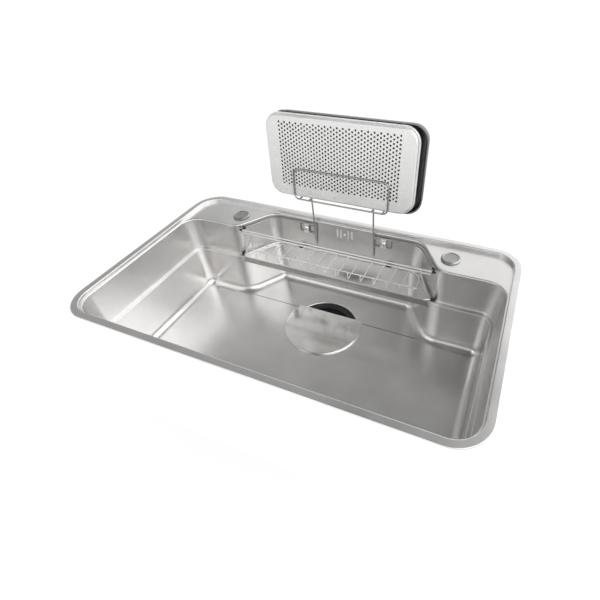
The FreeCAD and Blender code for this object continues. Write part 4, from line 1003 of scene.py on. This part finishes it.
def hole_field(sizes):
    """Cells of the tray's staggered holes. A column's cells are a pitch high, and each has six boundary
    points, its corners and the middles of its sides, where the next column's cells meet; twelve points go
    round its hole. Strips half a cell high fill the ends of the odd columns."""
    columns, rows, sides = HOLE_COLUMNS, HOLE_ROWS, HOLE_SIDES
    wide, tall = HOLE_FIELD[0] / (columns - 1), HOLE_FIELD[1] / (rows - 1)
    c, r = np.meshgrid(np.arange(columns), np.arange(rows), indexing="ij")
    full = (c % 2 == 0) | (r < rows - 1)
    c, r = c[full], r[full]
    height = HOLE_FIELD_UP + (r - (rows - 1) / 2 + 0.5 * (c % 2)) * tall
    middle = np.stack([(c - columns // 2) * wide, height], 1)
    rim = np.array([(0.5, 0), (0.5, 0.5), (-0.5, 0.5), (-0.5, 0), (-0.5, -0.5), (0.5, -0.5)]) * (wide, tall)
    a = np.arange(sides) * 2 * math.pi / sides
    hole = np.stack([np.cos(a), np.sin(a)], 1) * sizes.tray_hole / 2
    cells = middle[:, None] + np.vstack([rim, hole])[None]
    size = len(rim) + sides
    first = (np.arange(len(cells)) * size)[:, None, None]
    k = np.arange(len(rim))
    sector = np.stack([k, (k + 1) % 6, 6 + (2 * k + 2) % sides, 6 + 2 * k + 1, 6 + 2 * k], 1)
    walls = first + len(rim) + np.stack([np.arange(sides), (np.arange(sides) + 1) % sides], 1)
    x = (np.arange(1, columns, 2) - columns // 2) * wide
    ends = []
    for low, high in ((-rows, 1 - rows), (rows - 1, rows)):
        box = np.array([(-0.5, low / 2), (0.5, low / 2), (0.5, high / 2), (-0.5, high / 2)]) * (wide, tall)
        ends.append(np.stack([x, 0 * x + HOLE_FIELD_UP], 1)[:, None] + box[None])
    strips = np.concatenate(ends)
    strip_faces = (len(cells) * size + np.arange(len(strips)) * 4)[:, None] + np.arange(4)
    half_x, half_y = columns / 2 * wide, rows / 2 * tall
    across = (np.arange(columns + 1) - columns / 2) * wide
    up = (np.arange(2 * rows + 1) - rows) * tall / 2
    low_side = np.stack([across, 0 * across - half_y], 1)[:-1]
    right_side = np.stack([0 * up + half_x, up], 1)[:-1]
    border = np.vstack([low_side, right_side, -low_side, -right_side]) + (0.0, HOLE_FIELD_UP)
    points = np.vstack([cells.reshape(-1, 2), strips.reshape(-1, 2)])
    return points, (first + sector).reshape(-1, 5), strip_faces, walls.reshape(-1, 2), border


def tray_shape(sizes):
    """The draining tray: a rim swept round its outline, and between its face's edge and the field of holes
    a band of triangles, all in two skins a sheet's thickness apart."""
    rim, rim_faces, edge = dish_rim(TRAY)
    points, cells, strips, walls, border = hole_field(sizes)
    band = np.array(tessellate_polygon([[Vector((*p, 0)) for p in loop.tolist()] for loop in (edge, border)]))
    flat = np.vstack([points, edge, border])
    size = len(flat)
    both = np.vstack([np.hstack([flat, np.full((size, 1), level)]) for level in (0.0, DISH_SHEET)])
    faces = []
    for start in (0, size):
        faces += (cells + start).tolist() + (strips + start).tolist() + (band + len(points) + start).tolist()
    faces += np.stack([walls[:, 0], walls[:, 1], walls[:, 1] + size, walls[:, 0] + size], 1).tolist()
    rim[-len(edge):, 2] = 0.0
    rim[:len(edge), 2] = DISH_SHEET
    rim[:len(edge), :2] = edge
    shape = joined([(both, faces), (rim, rim_faces)])
    return stand(shape[0], TRAY_X, 0.0, True), shape[1]


def pan_shape():
    """The closed pan behind the tray: rings that close to a seam on a face without holes."""
    rim, _, edge = dish_rim(PAN)
    middle = np.array((0.0, PAN[1] / 2))
    share = np.linspace(1, 0, 7)[1:]
    outer = np.concatenate([np.hstack([middle + (edge - middle) * s, np.zeros((len(edge), 1))])
                            for s in share])
    inside = outer.reshape(len(share), len(edge), 3)[::-1].reshape(-1, 3) + (0, 0, DISH_SHEET)
    grid = np.concatenate([inside, rim, outer])
    return stand(grid, PAN_X, PAN_BACK, False), grid_faces(len(grid) // len(edge), len(edge))


# Wires
def sleeve(end, towards, inner, wall, length):
    """A soft cap: a thin tube with a rounded closed end over a wire's end."""
    profile = bent_path([(0, wall), (inner + wall, wall), (inner + wall, -length), (inner, -length),
                         (inner, CLOSE_GAP), (0, CLOSE_GAP)], [0.6 * (inner + wall), 0.3, 0.2, 0], 5)
    return turned(profile, end, 20, False, towards)


def both_sides(shapes):
    """Shapes of the right side and their mirrored copies."""
    return [*shapes, *[mirrored(shape) for shape in shapes]]


def holder_shape():
    """The tray holder's wires: legs, bolting eyes, side wires along the bay, cross bars and two loops."""
    back, _, radius = bay_corners(HOOP_IN)
    end, _ = hoop_end()
    leg_y = MOUTH_HALF[1] - LEG_IN
    bar_up = -WIRE - SEAT_GAP
    bar_in = (leg_y - CRADLE[1] - bar_up * math.sin(LEAN)) / math.cos(LEAN)
    leg = round_bar([(LEG_X, leg_y, LEG_FOOT_Z), cradle(LEG_X, bar_up, bar_in)], WIRE)
    hoop = round_bar(bent_path([(LEG_X, back[1], HOOP_Z), (*back, HOOP_Z), end], [radius], 12), WIRE)
    lie = on_wall(LEG_X, SLOT_DEPTH, -EYE_WIRE - SEAT_GAP)
    upper, lower = lie + WALL_UP * EYE_HALF, lie - WALL_UP * EYE_HALF
    near, far = [ALONG * reach for reach in EYE_REACH]
    eye = round_bar(bent_path([(LEG_X, leg_y, upper[2]), upper + near, upper + far, lower + far, lower + near,
                               (LEG_X, leg_y, lower[2])], EYE_ROUNDS, 6), EYE_WIRE)
    front, rear = -WIRE - CRADLE_GAP, PAN_BACK + WIRE + CRADLE_GAP
    bars = [round_bar([cradle(across, bar_up, front), cradle(across, bar_up, rear)], WIRE)
            for across in (LEG_X, BOLT_X)]
    loops = [round_bar(bent_path([cradle(-LOOP_HALF, LOOP_TOP, depth), cradle(-LOOP_HALF, bar_up, depth),
                                  cradle(LOOP_HALF, bar_up, depth), cradle(LOOP_HALF, LOOP_TOP, depth)],
                                 [LOOP_ROUND] * 4, 8, True), WIRE, 14, True) for depth in (front, rear)]
    return joined(loops + both_sides([leg, hoop, eye, *bars]))


def hoop_end():
    """Where the holder's right side wire ends, and which way it points."""
    back, mouth, _ = bay_corners(HOOP_IN)
    towards = unit(np.array((*(mouth - back), 0.0)))
    turn = math.acos(float(towards[0]))
    start = np.array((*mouth, HOOP_Z)) - towards * ((BAY_MOUTH_ROUND + HOOP_IN) * math.tan(turn / 2))
    return start + towards * HOOP_PAST, towards


def rail_y():
    """The rack's rails run just in front of the soft tips on the holder's side wires."""
    return hoop_end()[0][1] - 2 * (WIRE + TIP_WALL) - RAIL_GAP


def ring_corners():
    """The rack ring's right corners at ledge height and its back corner's radius."""
    back, mouth, radius = bay_corners(RING_IN)
    z = LEDGE_Z + SLEEVE_RADII[1] + SEAT_GAP
    return np.array((*back, z)), np.array((*mouth, z)), radius


def rack_stub():
    """From the ring's bent front corner out over the ledge, towards the middle of the bay's mouth arc."""
    back, front, _ = ring_corners()
    onward = unit(back - front)
    turn = math.acos(float(onward[0]))
    inwards = unit(onward - ALONG)
    corner = front + inwards * RING_FRONT_ROUND * (1 / math.cos(turn / 2) - 1)
    run = BAY_MOUTH_ROUND * math.tan(BAY_TURN / 2)
    centre = np.array((BAY_MOUTH_HALF + run, DECK_FRONT_Y + BAY_MOUTH_ROUND, front[2]))
    return corner, centre - unit(centre - front) * (BAY_MOUTH_ROUND + STUB_PAST)


def rack_shape():
    """The rack's ring, stubs, posts, sloping legs, rim wire and two rails."""
    back, front, radius = ring_corners()
    flip = np.array((-1.0, 1.0, 1.0))
    rounds = (RING_FRONT_ROUND, radius, radius, RING_FRONT_ROUND)
    path = bent_path([front, back, back * flip, front * flip], rounds, 12, True)
    ring = round_bar(path, RING_WIRE, 16, True)
    start, end = rack_stub()
    rim_y = front[1] + THIN_IN + THIN_WIRE + WIRE + CLOSE_GAP
    upper, lower = [np.array((POST_X, rail_y(), z)) for _, z in RAILS]
    post = round_bar([upper, lower, (POST_X, rim_y, RACK_RIM_Z)], WIRE)
    leg = round_bar([lower, start + (end - start) * LEG_SHARE], WIRE)
    rails = [round_bar([(-half, rail_y(), z), (half, rail_y(), z)], WIRE) for half, z in RAILS]
    rim = round_bar([(-POST_X, rim_y, RACK_RIM_Z), (POST_X, rim_y, RACK_RIM_Z)], WIRE)
    return joined([ring, rim, *rails, *both_sides([round_bar([start, end], RING_WIRE), post, leg])])


def grid_shape():
    """Thin cross wires that lie on the ring and turn up at the front."""
    back, front, _ = ring_corners()
    z = front[2] + RING_WIRE + THIN_WIRE + CLOSE_GAP
    y = front[1] + THIN_IN
    slope = (front[1] - back[1]) / (front[0] - back[0])
    wires = []
    for x in (np.arange(THIN_WIRES) - (THIN_WIRES - 1) / 2) * THIN_PITCH:
        far = back[1] + slope * max(abs(x) - back[0], 0.0)
        path = bent_path([(x, far, z), (x, y, z), (x, y, RACK_RIM_Z)], [THIN_ROUND], 6)
        wires.append(round_bar(path, THIN_WIRE, 10))
    return joined(wires)


def apron_shape():
    """The flat strip under the ring's front wire, its long edges folded a little round: a slab whose
    section is eased and whose ends flare."""
    _, front, _ = ring_corners()
    top = front[2] + RING_WIRE
    face = front[1] - RING_WIRE - CLOSE_GAP
    levels = bent_path([(0.0, 0.0), (0.0, -APRON_HEIGHT), (-APRON_SHEET, -APRON_HEIGHT), (-APRON_SHEET, 0.0)],
                       [APRON_ROUND] * 4, 4, True)
    across = np.linspace(-1, 1, APRON_STATIONS)
    half = APRON_HALF - APRON_FLARE * levels[:, 1] / APRON_HEIGHT
    points = np.stack([across[:, None] * half, 0 * across[:, None] + face + levels[:, 0],
                       0 * across[:, None] + top + levels[:, 1]], -1)
    count = len(levels)
    ends = [list(range(count)), list(range((APRON_STATIONS - 1) * count, APRON_STATIONS * count))]
    return points.reshape(-1, 3), grid_faces(APRON_STATIONS, count).tolist() + ends


class SinkSizes(bpy.types.PropertyGroup):
    """Sizes that may be changed, in millimetres."""
    cover_crown: bpy.props.FloatProperty(
        name="Cover crown", description="Rise of the drain cover's middle, mm", default=0.6, min=0.0, max=3.0)
    tray_hole: bpy.props.FloatProperty(
        name="Tray hole", description="Diameter of the tray's holes, mm", default=4.7, min=1.0, max=6.0)
    crease_y: bpy.props.FloatProperty(
        name="Crease place", description="Where the floor's crease lies, mm behind the rim's middle",
        default=CREASE_Y)
    crease_width: bpy.props.FloatProperty(
        name="Crease softness", description="How wide the floor's crease is, mm", default=3.0, min=0.5)
    bay_fall: bpy.props.FloatProperty(
        name="Bay fall", description="Slope of the floor behind the crease", default=0.022, min=0.0, max=0.05)
    front_fall: bpy.props.FloatProperty(
        name="Front fall", description="Slope of the floor before the crease", default=0.004, min=0.0,
        max=0.02)


class SinkColours(bpy.types.PropertyGroup):
    """Colours that may be changed, as sRGB hex values."""
    sheet_dark: bpy.props.StringProperty(
        name="Sheet, darker", description="Darker cloud of the pressed sheet", default="#D6D5D4")
    sheet_light: bpy.props.StringProperty(
        name="Sheet, lighter", description="Lighter cloud of the pressed sheet", default="#E2E1E0")
    tray_dark: bpy.props.StringProperty(
        name="Tray, darker", description="Darker cloud of the tray", default="#E6E6E5")
    tray_light: bpy.props.StringProperty(
        name="Tray, lighter", description="Lighter cloud of the tray", default="#F0F0EF")
    backdrop: bpy.props.StringProperty(
        name="Backdrop", description="Colour of the floor and backdrop", default="#FFFFFF")


def flat_mesh(name, points, faces, material):
    """A piece of the stage from points in millimetres."""
    mesh = bpy.data.meshes.new(name)
    mesh.from_pydata(((np.asarray(points) + RIM_MIDDLE) / 1000.0).tolist(), [], faces)
    mesh.materials.append(material)
    piece = bpy.data.objects.new(name, mesh)
    bpy.context.scene.collection.objects.link(piece)
    return piece


class SinkStage(bpy.types.Operator):
    """Add the pale floor, the white card level with the rim, the soft studio light and the camera."""
    bl_idname = "sink.add_stage"
    bl_label = "Stage"

    def execute(self, context):
        scene = context.scene
        scene.view_settings.view_transform = "Standard"
        white = linear(scene.sink_colours.backdrop)
        material, tree, out = new_material("white_paper_backdrop")
        rays = add_node(tree, "ShaderNodeLightPath").outputs
        seen = math_node(tree, "MAXIMUM", rays["Is Camera Ray"], rays["Is Glossy Ray"])
        seen = math_node(tree, "MAXIMUM", seen, rays["Is Transmission Ray"])
        matt = add_node(tree, "ShaderNodeBsdfDiffuse", {"Color": white}).outputs["BSDF"]
        bright = add_node(tree, "ShaderNodeEmission", {"Color": white, "Strength": BACKDROP_GLOW})
        shown = add_node(tree, "ShaderNodeMixShader", {"Fac": BACKDROP_SHARE, 1: matt,
                                                       2: bright.outputs["Emission"]}).outputs["Shader"]
        mixed = add_node(tree, "ShaderNodeMixShader", {"Fac": seen, 1: matt, 2: shown})
        tree.links.new(mixed.outputs["Shader"], out.inputs["Surface"])
        low = cad_box[0][2] * 1000.0 - RIM_MIDDLE[2] - BACKDROP_GAP
        wide = BACKDROP_HALF
        flat_mesh("floor", [(-wide, -wide, low), (wide, -wide, low), (wide, wide, low), (-wide, wide, low)],
                  [[0, 1, 2, 3]], material)
        self.add_card(material)
        self.add_light(scene)
        self.add_camera(scene)
        return {"FINISHED"}

    def add_card(self, material):
        """A narrow white card along the rim's front edge, where a worktop would be, as the photograph shows
        no wall below the rim. It runs from the rim's outline, just inside its edge, outwards."""
        base, normals = outline(rectangle(RIM_HALF[0], -RIM_HALF[1], RIM_HALF[1], RIM_CORNER), 6.0, 60.0)
        front = base[:, 1] < CARD_BACK_Y
        order = np.argsort(base[front][:, 0])
        lines = [(base + normals * inset)[front][order] for inset in (CARD_UNDER_RIM, -CARD_OUT)]
        points = np.vstack([np.hstack([line, np.full((len(line), 1), CARD_Z)]) for line in lines])
        card = flat_mesh("front_card", points, grid_faces(2, len(order), False, False).tolist(), material)
        card.visible_shadow = False
        card.visible_diffuse = False
        card.visible_glossy = False

    def add_light(self, scene):
        """A white world for the eye, and for light and gloss a studio sky with a dark middle, a screen in
        front and a bright softbox on the right, with a low lamp in front."""
        world = bpy.data.worlds.new("studio")
        world.use_nodes = True
        tree = world.node_tree
        tree.nodes.clear()
        out = add_node(tree, "ShaderNodeOutputWorld")
        rays = add_node(tree, "ShaderNodeLightPath")
        way = add_node(tree, "ShaderNodeTexCoord").outputs["Generated"]
        parts = add_node(tree, "ShaderNodeSeparateXYZ", {"Vector": way})

        def graded(axis, low, high, dim, bright):
            """From dim to bright as the direction's part along an axis goes from low to high."""
            return add_node(tree, "ShaderNodeMapRange", {"Value": parts.outputs[axis], "From Min": low,
                                                         "From Max": high, "To Min": dim, "To Max": bright},
                            interpolation_type="SMOOTHSTEP").outputs["Result"]

        # The main sky is dark straight above, and in front it is dim low down and bright higher up
        sky = math_node(tree, "MULTIPLY", graded("Z", 0.52, 0.93, 1.07, 0.15),
                        graded("Y", -0.5, 0.1, graded("Z", 0.3, 0.58, 0.55, 1.35), 1.0))
        # It is darker far to the left and a little brighter far behind
        sky = math_node(tree, "MULTIPLY", sky, graded("X", -0.68, -0.42, 0.44, 1.0))
        sky = math_node(tree, "MULTIPLY", sky, graded("Y", 0.66, 0.84, 1.0, 1.2))
        # A screen in front adds light on the left and takes some away on the right
        front = math_node(tree, "MULTIPLY", graded("Y", -0.5, -0.1, 1.0, 0.0),
                          graded("X", -0.47, -0.1, 0.7, -0.6))
        front = math_node(tree, "MULTIPLY", front, graded("Z", 0.3, 0.5, 0.0, 1.0))
        # The big softbox stands on the right
        softbox = math_node(tree, "MULTIPLY", graded("X", 0.1, 0.35, 0.0, 1.65),
                            graded("Z", 0.25, 0.48, 0.25, 1.0))
        sky = math_node(tree, "ADD", math_node(tree, "ADD", sky, front), softbox)
        sky = math_node(tree, "MAXIMUM", sky, 0.0)
        studio = add_node(tree, "ShaderNodeBackground", {"Color": (1, 1, 1, 1), "Strength": sky})
        plain = add_node(tree, "ShaderNodeBackground", {"Color": (1, 1, 1, 1), "Strength": 1.0})
        mixed = add_node(tree, "ShaderNodeMixShader", {"Fac": rays.outputs["Is Camera Ray"],
                                                       1: studio.outputs["Background"],
                                                       2: plain.outputs["Background"]})
        tree.links.new(mixed.outputs["Shader"], out.inputs["Surface"])
        scene.world = world
        light = bpy.data.lights.new("low_front_softbox", "AREA")
        light.shape = "RECTANGLE"
        light.size, light.size_y = LAMP_SIZE
        light.energy = LAMP_WATTS
        lamp = bpy.data.objects.new("low_front_softbox", light)
        lamp.location = LAMP_PLACE
        lamp.rotation_euler = (LAMP_AIM - LAMP_PLACE).to_track_quat("-Z", "Y").to_euler()
        scene.collection.objects.link(lamp)

    def add_camera(self, scene):
        """The photograph's view, from in front, above and the right, with its picture shifted sideways."""
        data = bpy.data.cameras.new("camera")
        data.lens = FOCAL_SHARE * SENSOR
        data.sensor_width = SENSOR
        data.shift_x = SHIFT_SHARE
        camera = bpy.data.objects.new("camera", data)
        turn = Matrix((CAMERA_RIGHT, -CAMERA_DOWN, -CAMERA_AHEAD)).transposed().to_4x4()
        turn.translation = Vector(((np.array(CAMERA_PLACE) + RIM_MIDDLE) / 1000.0).tolist())
        camera.matrix_world = turn
        scene.collection.objects.link(camera)
        scene.camera = camera


class SinkBowl(bpy.types.Operator):
    """Add the pressed bowl with its rim, decks, bay, ledge and slots, and the seal under its rim."""
    bl_idname = "sink.add_bowl"
    bl_label = "Bowl"

    def execute(self, context):
        shape = bowl_shape(context.scene.sink_sizes)
        mark_outside(add_piece("pressed_bowl", shape, "sink", "steel_sheet", "sink_bowl", weighted=True))
        add_piece("rim_strip", seal_shape(), "sink", "seal_foam", "rim_seal")
        return {"FINISHED"}


class SinkDrain(bpy.types.Operator):
    """Add the drain: body, gaskets, ring nut, strainer, cover and its feet."""
    bl_idname = "sink.add_drain"
    bl_label = "Drain"

    def execute(self, context):
        body, gasket, under, nut = drain_shapes()
        add_piece("drain_moulding", body, "sink", "black_plastic", "drain_body", 35.0)
        add_piece("drain_seat_gasket", gasket, "sink", "black_rubber", "drain_gasket", 35.0)
        add_piece("drain_lower_gasket", under, "sink", "black_rubber", "drain_under_gasket", 35.0)
        add_piece("drain_ring_nut", nut, "sink", "black_plastic", "drain_nut", 35.0)
        add_piece("strainer", strainer_shape(), "strainer", "black_plastic", "strainer_basket", 30.0)
        cover = cover_shape(context.scene.sink_sizes)
        add_piece("cover_disc", cover, "cover", "polished_steel", "drain_cover")
        feet = []
        for angle in np.radians(PAD_ANGLES):
            place = DRAIN + (PAD_OUT * math.cos(angle), PAD_OUT * math.sin(angle), COVER_FOOT)
            feet.append(turned(rounded_line(PAD_CORNERS, 3), place, 24))
        add_piece("cover_pads", joined(feet), "cover", "black_rubber", "cover_feet")
        return {"FINISHED"}


class SinkCaps(bpy.types.Operator):
    """Add the covers on the two tap holes and the overflow's screw, and finish what lies behind them."""
    bl_idname = "sink.add_caps"
    bl_label = "Tap hole covers and overflow"

    def execute(self, context):
        caps = joined(both_sides([turned(rounded_line(CAP_CORNERS, 5), CAP_MIDDLE, 64)]))
        add_piece("tap_hole_covers", caps, "sink", "polished_steel", "tap_hole_caps", 30.0, "cap_steel")
        for node, slot in (("cap_seals", "black_rubber"), ("cap_washers", "grey_plastic"),
                           ("cap_nuts", "zinc_steel"), ("overflow_gasket", "black_rubber"),
                           ("overflow_box", "grey_plastic")):
            finish_node(node, slot)
        screw = turned(rounded_line(SCREW_CORNERS, 4), on_wall(0.0, SLOT_DEPTH), 32, False, WALL_OUT)
        add_piece("overflow_pan_screw", screw, "sink", "steel_wire", "overflow_screw", 35.0)
        return {"FINISHED"}


class SinkHolder(bpy.types.Operator):
    """Add the bent wire tray holder with its tips, clamps, bolts, washers and nuts."""
    bl_idname = "sink.add_holder"
    bl_label = "Tray holder"

    def execute(self, context):
        # The holder's wires take the wire colour darkened as painted shade
        add_piece("holder_wires", holder_shape(), "sink", "steel_wire", "tray_holder", finish="wire_painted_shade")
        end, towards = hoop_end()
        tip = sleeve(end, towards, WIRE + CLOSE_GAP, TIP_WALL, TIP_LENGTH)
        add_piece("holder_wire_tips", joined(both_sides([tip])), "sink", "black_rubber", "holder_tips")
        clamp = eased_block(on_wall(BOLT_X, SLOT_DEPTH, PLATE_FACE - PLATE / 2), ALONG * PLATE_HALF[0],
                            WALL_UP * PLATE_HALF[1], WALL_OUT * PLATE / 2, PLATE_EASE)
        clamps = joined(both_sides([clamp]))
        add_piece("holder_clamp_plates", clamps, "sink", "steel_wire", "holder_clamps", 35.0)
        under = PLATE_FACE - PLATE
        head = [(radius, under + height, rounding) for radius, height, rounding in BOLT_HEAD]
        shank = [(BOLT_RADIUS, under, 0.0), (BOLT_RADIUS, BOLT_END, 0.5), (0.0, BOLT_END, 0.0)]
        bolt = turned(rounded_line(head + shank, 6), on_wall(BOLT_X, SLOT_DEPTH), 36, False, WALL_OUT)
        bolts = joined(both_sides([bolt]))
        add_piece("holder_dome_bolts", bolts, "sink", "polished_steel", "holder_bolts", 35.0)
        finish_node("holder_washers", "black_rubber")
        finish_node("holder_nuts", "zinc_steel")
        return {"FINISHED"}


class SinkTrays(bpy.types.Operator):
    """Add the perforated draining tray and the closed pan behind it."""
    bl_idname = "sink.add_trays"
    bl_label = "Tray and pan"

    def execute(self, context):
        tray = tray_shape(context.scene.sink_sizes)
        add_piece("draining_tray", tray, "tray", "tray_steel", "perforated_tray", 30.0)
        # The pan takes the tray's steel with its colour darkened as painted shade
        add_piece("closed_pan", pan_shape(), "pan", "tray_steel", "drip_pan", 30.0, "pan_steel_painted_shade")
        return {"FINISHED"}


class SinkRack(bpy.types.Operator):
    """Add the lift-out rack: wires, cross wires, front strip, soft feet and tips."""
    bl_idname = "sink.add_rack"
    bl_label = "Lift-out rack"

    def execute(self, context):
        # The rack's wires take the wire colour raised as a painted highlight
        add_piece("rack_wires", rack_shape(), "rack", "steel_wire", "rack_frame")
        add_piece("rack_cross_wires", grid_shape(), "rack", "steel_wire", "rack_grid")
        # The front strip takes the wire colour darkened as painted shade
        add_piece("rack_front_strip", apron_shape(), "rack", "steel_wire", "rack_apron", finish="wire_painted_shade")
        start, end = rack_stub()
        inner, outer = SLEEVE_RADII
        front = sleeve(end, unit(end - start), inner, SLEEVE_WALL, SLEEVE_LENGTH)
        back, _, _ = ring_corners()
        tube = ring_section(outer, inner, -SLEEVE_HALF, SLEEVE_HALF, SLEEVE_ROUNDS, 4)
        rear = turned(tube, np.array((REAR_SLEEVE_X, back[1], back[2])), 20, True, ALONG)
        add_piece("rack_soft_feet", joined(both_sides([front, rear])), "rack", "black_rubber", "rack_feet")
        rail_end, rail_z = RAILS[0]
        tip = sleeve(np.array((rail_end, rail_y(), rail_z)), ALONG, WIRE + CLOSE_GAP, TIP_WALL, TIP_LENGTH)
        add_piece("rack_rail_tips", joined(both_sides([tip])), "rack", "black_rubber", "rack_tips")
        return {"FINISHED"}


class SinkFixings(bpy.types.Operator):
    """Finish the clips, their brackets and the sound pads, whose solids are kept."""
    bl_idname = "sink.add_fixings"
    bl_label = "Clips and pads"

    def execute(self, context):
        finish_node("clip_brackets", "steel_sheet")
        for node in sorted(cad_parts):
            if node.startswith("clip_") and node != "clip_brackets":
                finish_node(node, "zinc_steel")
        finish_node("sound_pads", "pad_rubber")
        return {"FINISHED"}


class SinkPanel(bpy.types.Panel):
    """The sink's pieces and sizes in the 3D view's sidebar."""
    bl_idname = "VIEW3D_PT_kitchen_sink"
    bl_label = "Kitchen Sink"
    bl_space_type = "VIEW_3D"
    bl_region_type = "UI"
    bl_category = "Sink"

    def draw(self, context):
        for group in (context.scene.sink_sizes, context.scene.sink_colours):
            for name in group.__annotations__:
                self.layout.prop(group, name)
        for operator in OPERATORS:
            self.layout.operator(operator.bl_idname)


OPERATORS = (SinkStage, SinkBowl, SinkDrain, SinkCaps, SinkHolder, SinkTrays, SinkRack, SinkFixings)


def register():
    for kind in (SinkSizes, SinkColours, *OPERATORS, SinkPanel):
        bpy.utils.register_class(kind)
    bpy.types.Scene.sink_sizes = bpy.props.PointerProperty(type=SinkSizes)
    bpy.types.Scene.sink_colours = bpy.props.PointerProperty(type=SinkColours)


def unregister():
    del bpy.types.Scene.sink_colours
    del bpy.types.Scene.sink_sizes
    for kind in (SinkPanel, *reversed(OPERATORS), SinkColours, SinkSizes):
        bpy.utils.unregister_class(kind)


def main():
    """Register, make the finishes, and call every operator."""
    register()
    finishes.update(make_materials(bpy.context.scene.sink_colours))
    bpy.ops.sink.add_stage()
    bpy.ops.sink.add_bowl()
    bpy.ops.sink.add_drain()
    bpy.ops.sink.add_caps()
    bpy.ops.sink.add_holder()
    bpy.ops.sink.add_trays()
    bpy.ops.sink.add_rack()
    bpy.ops.sink.add_fixings()


if __name__ == "__main__":
    main()
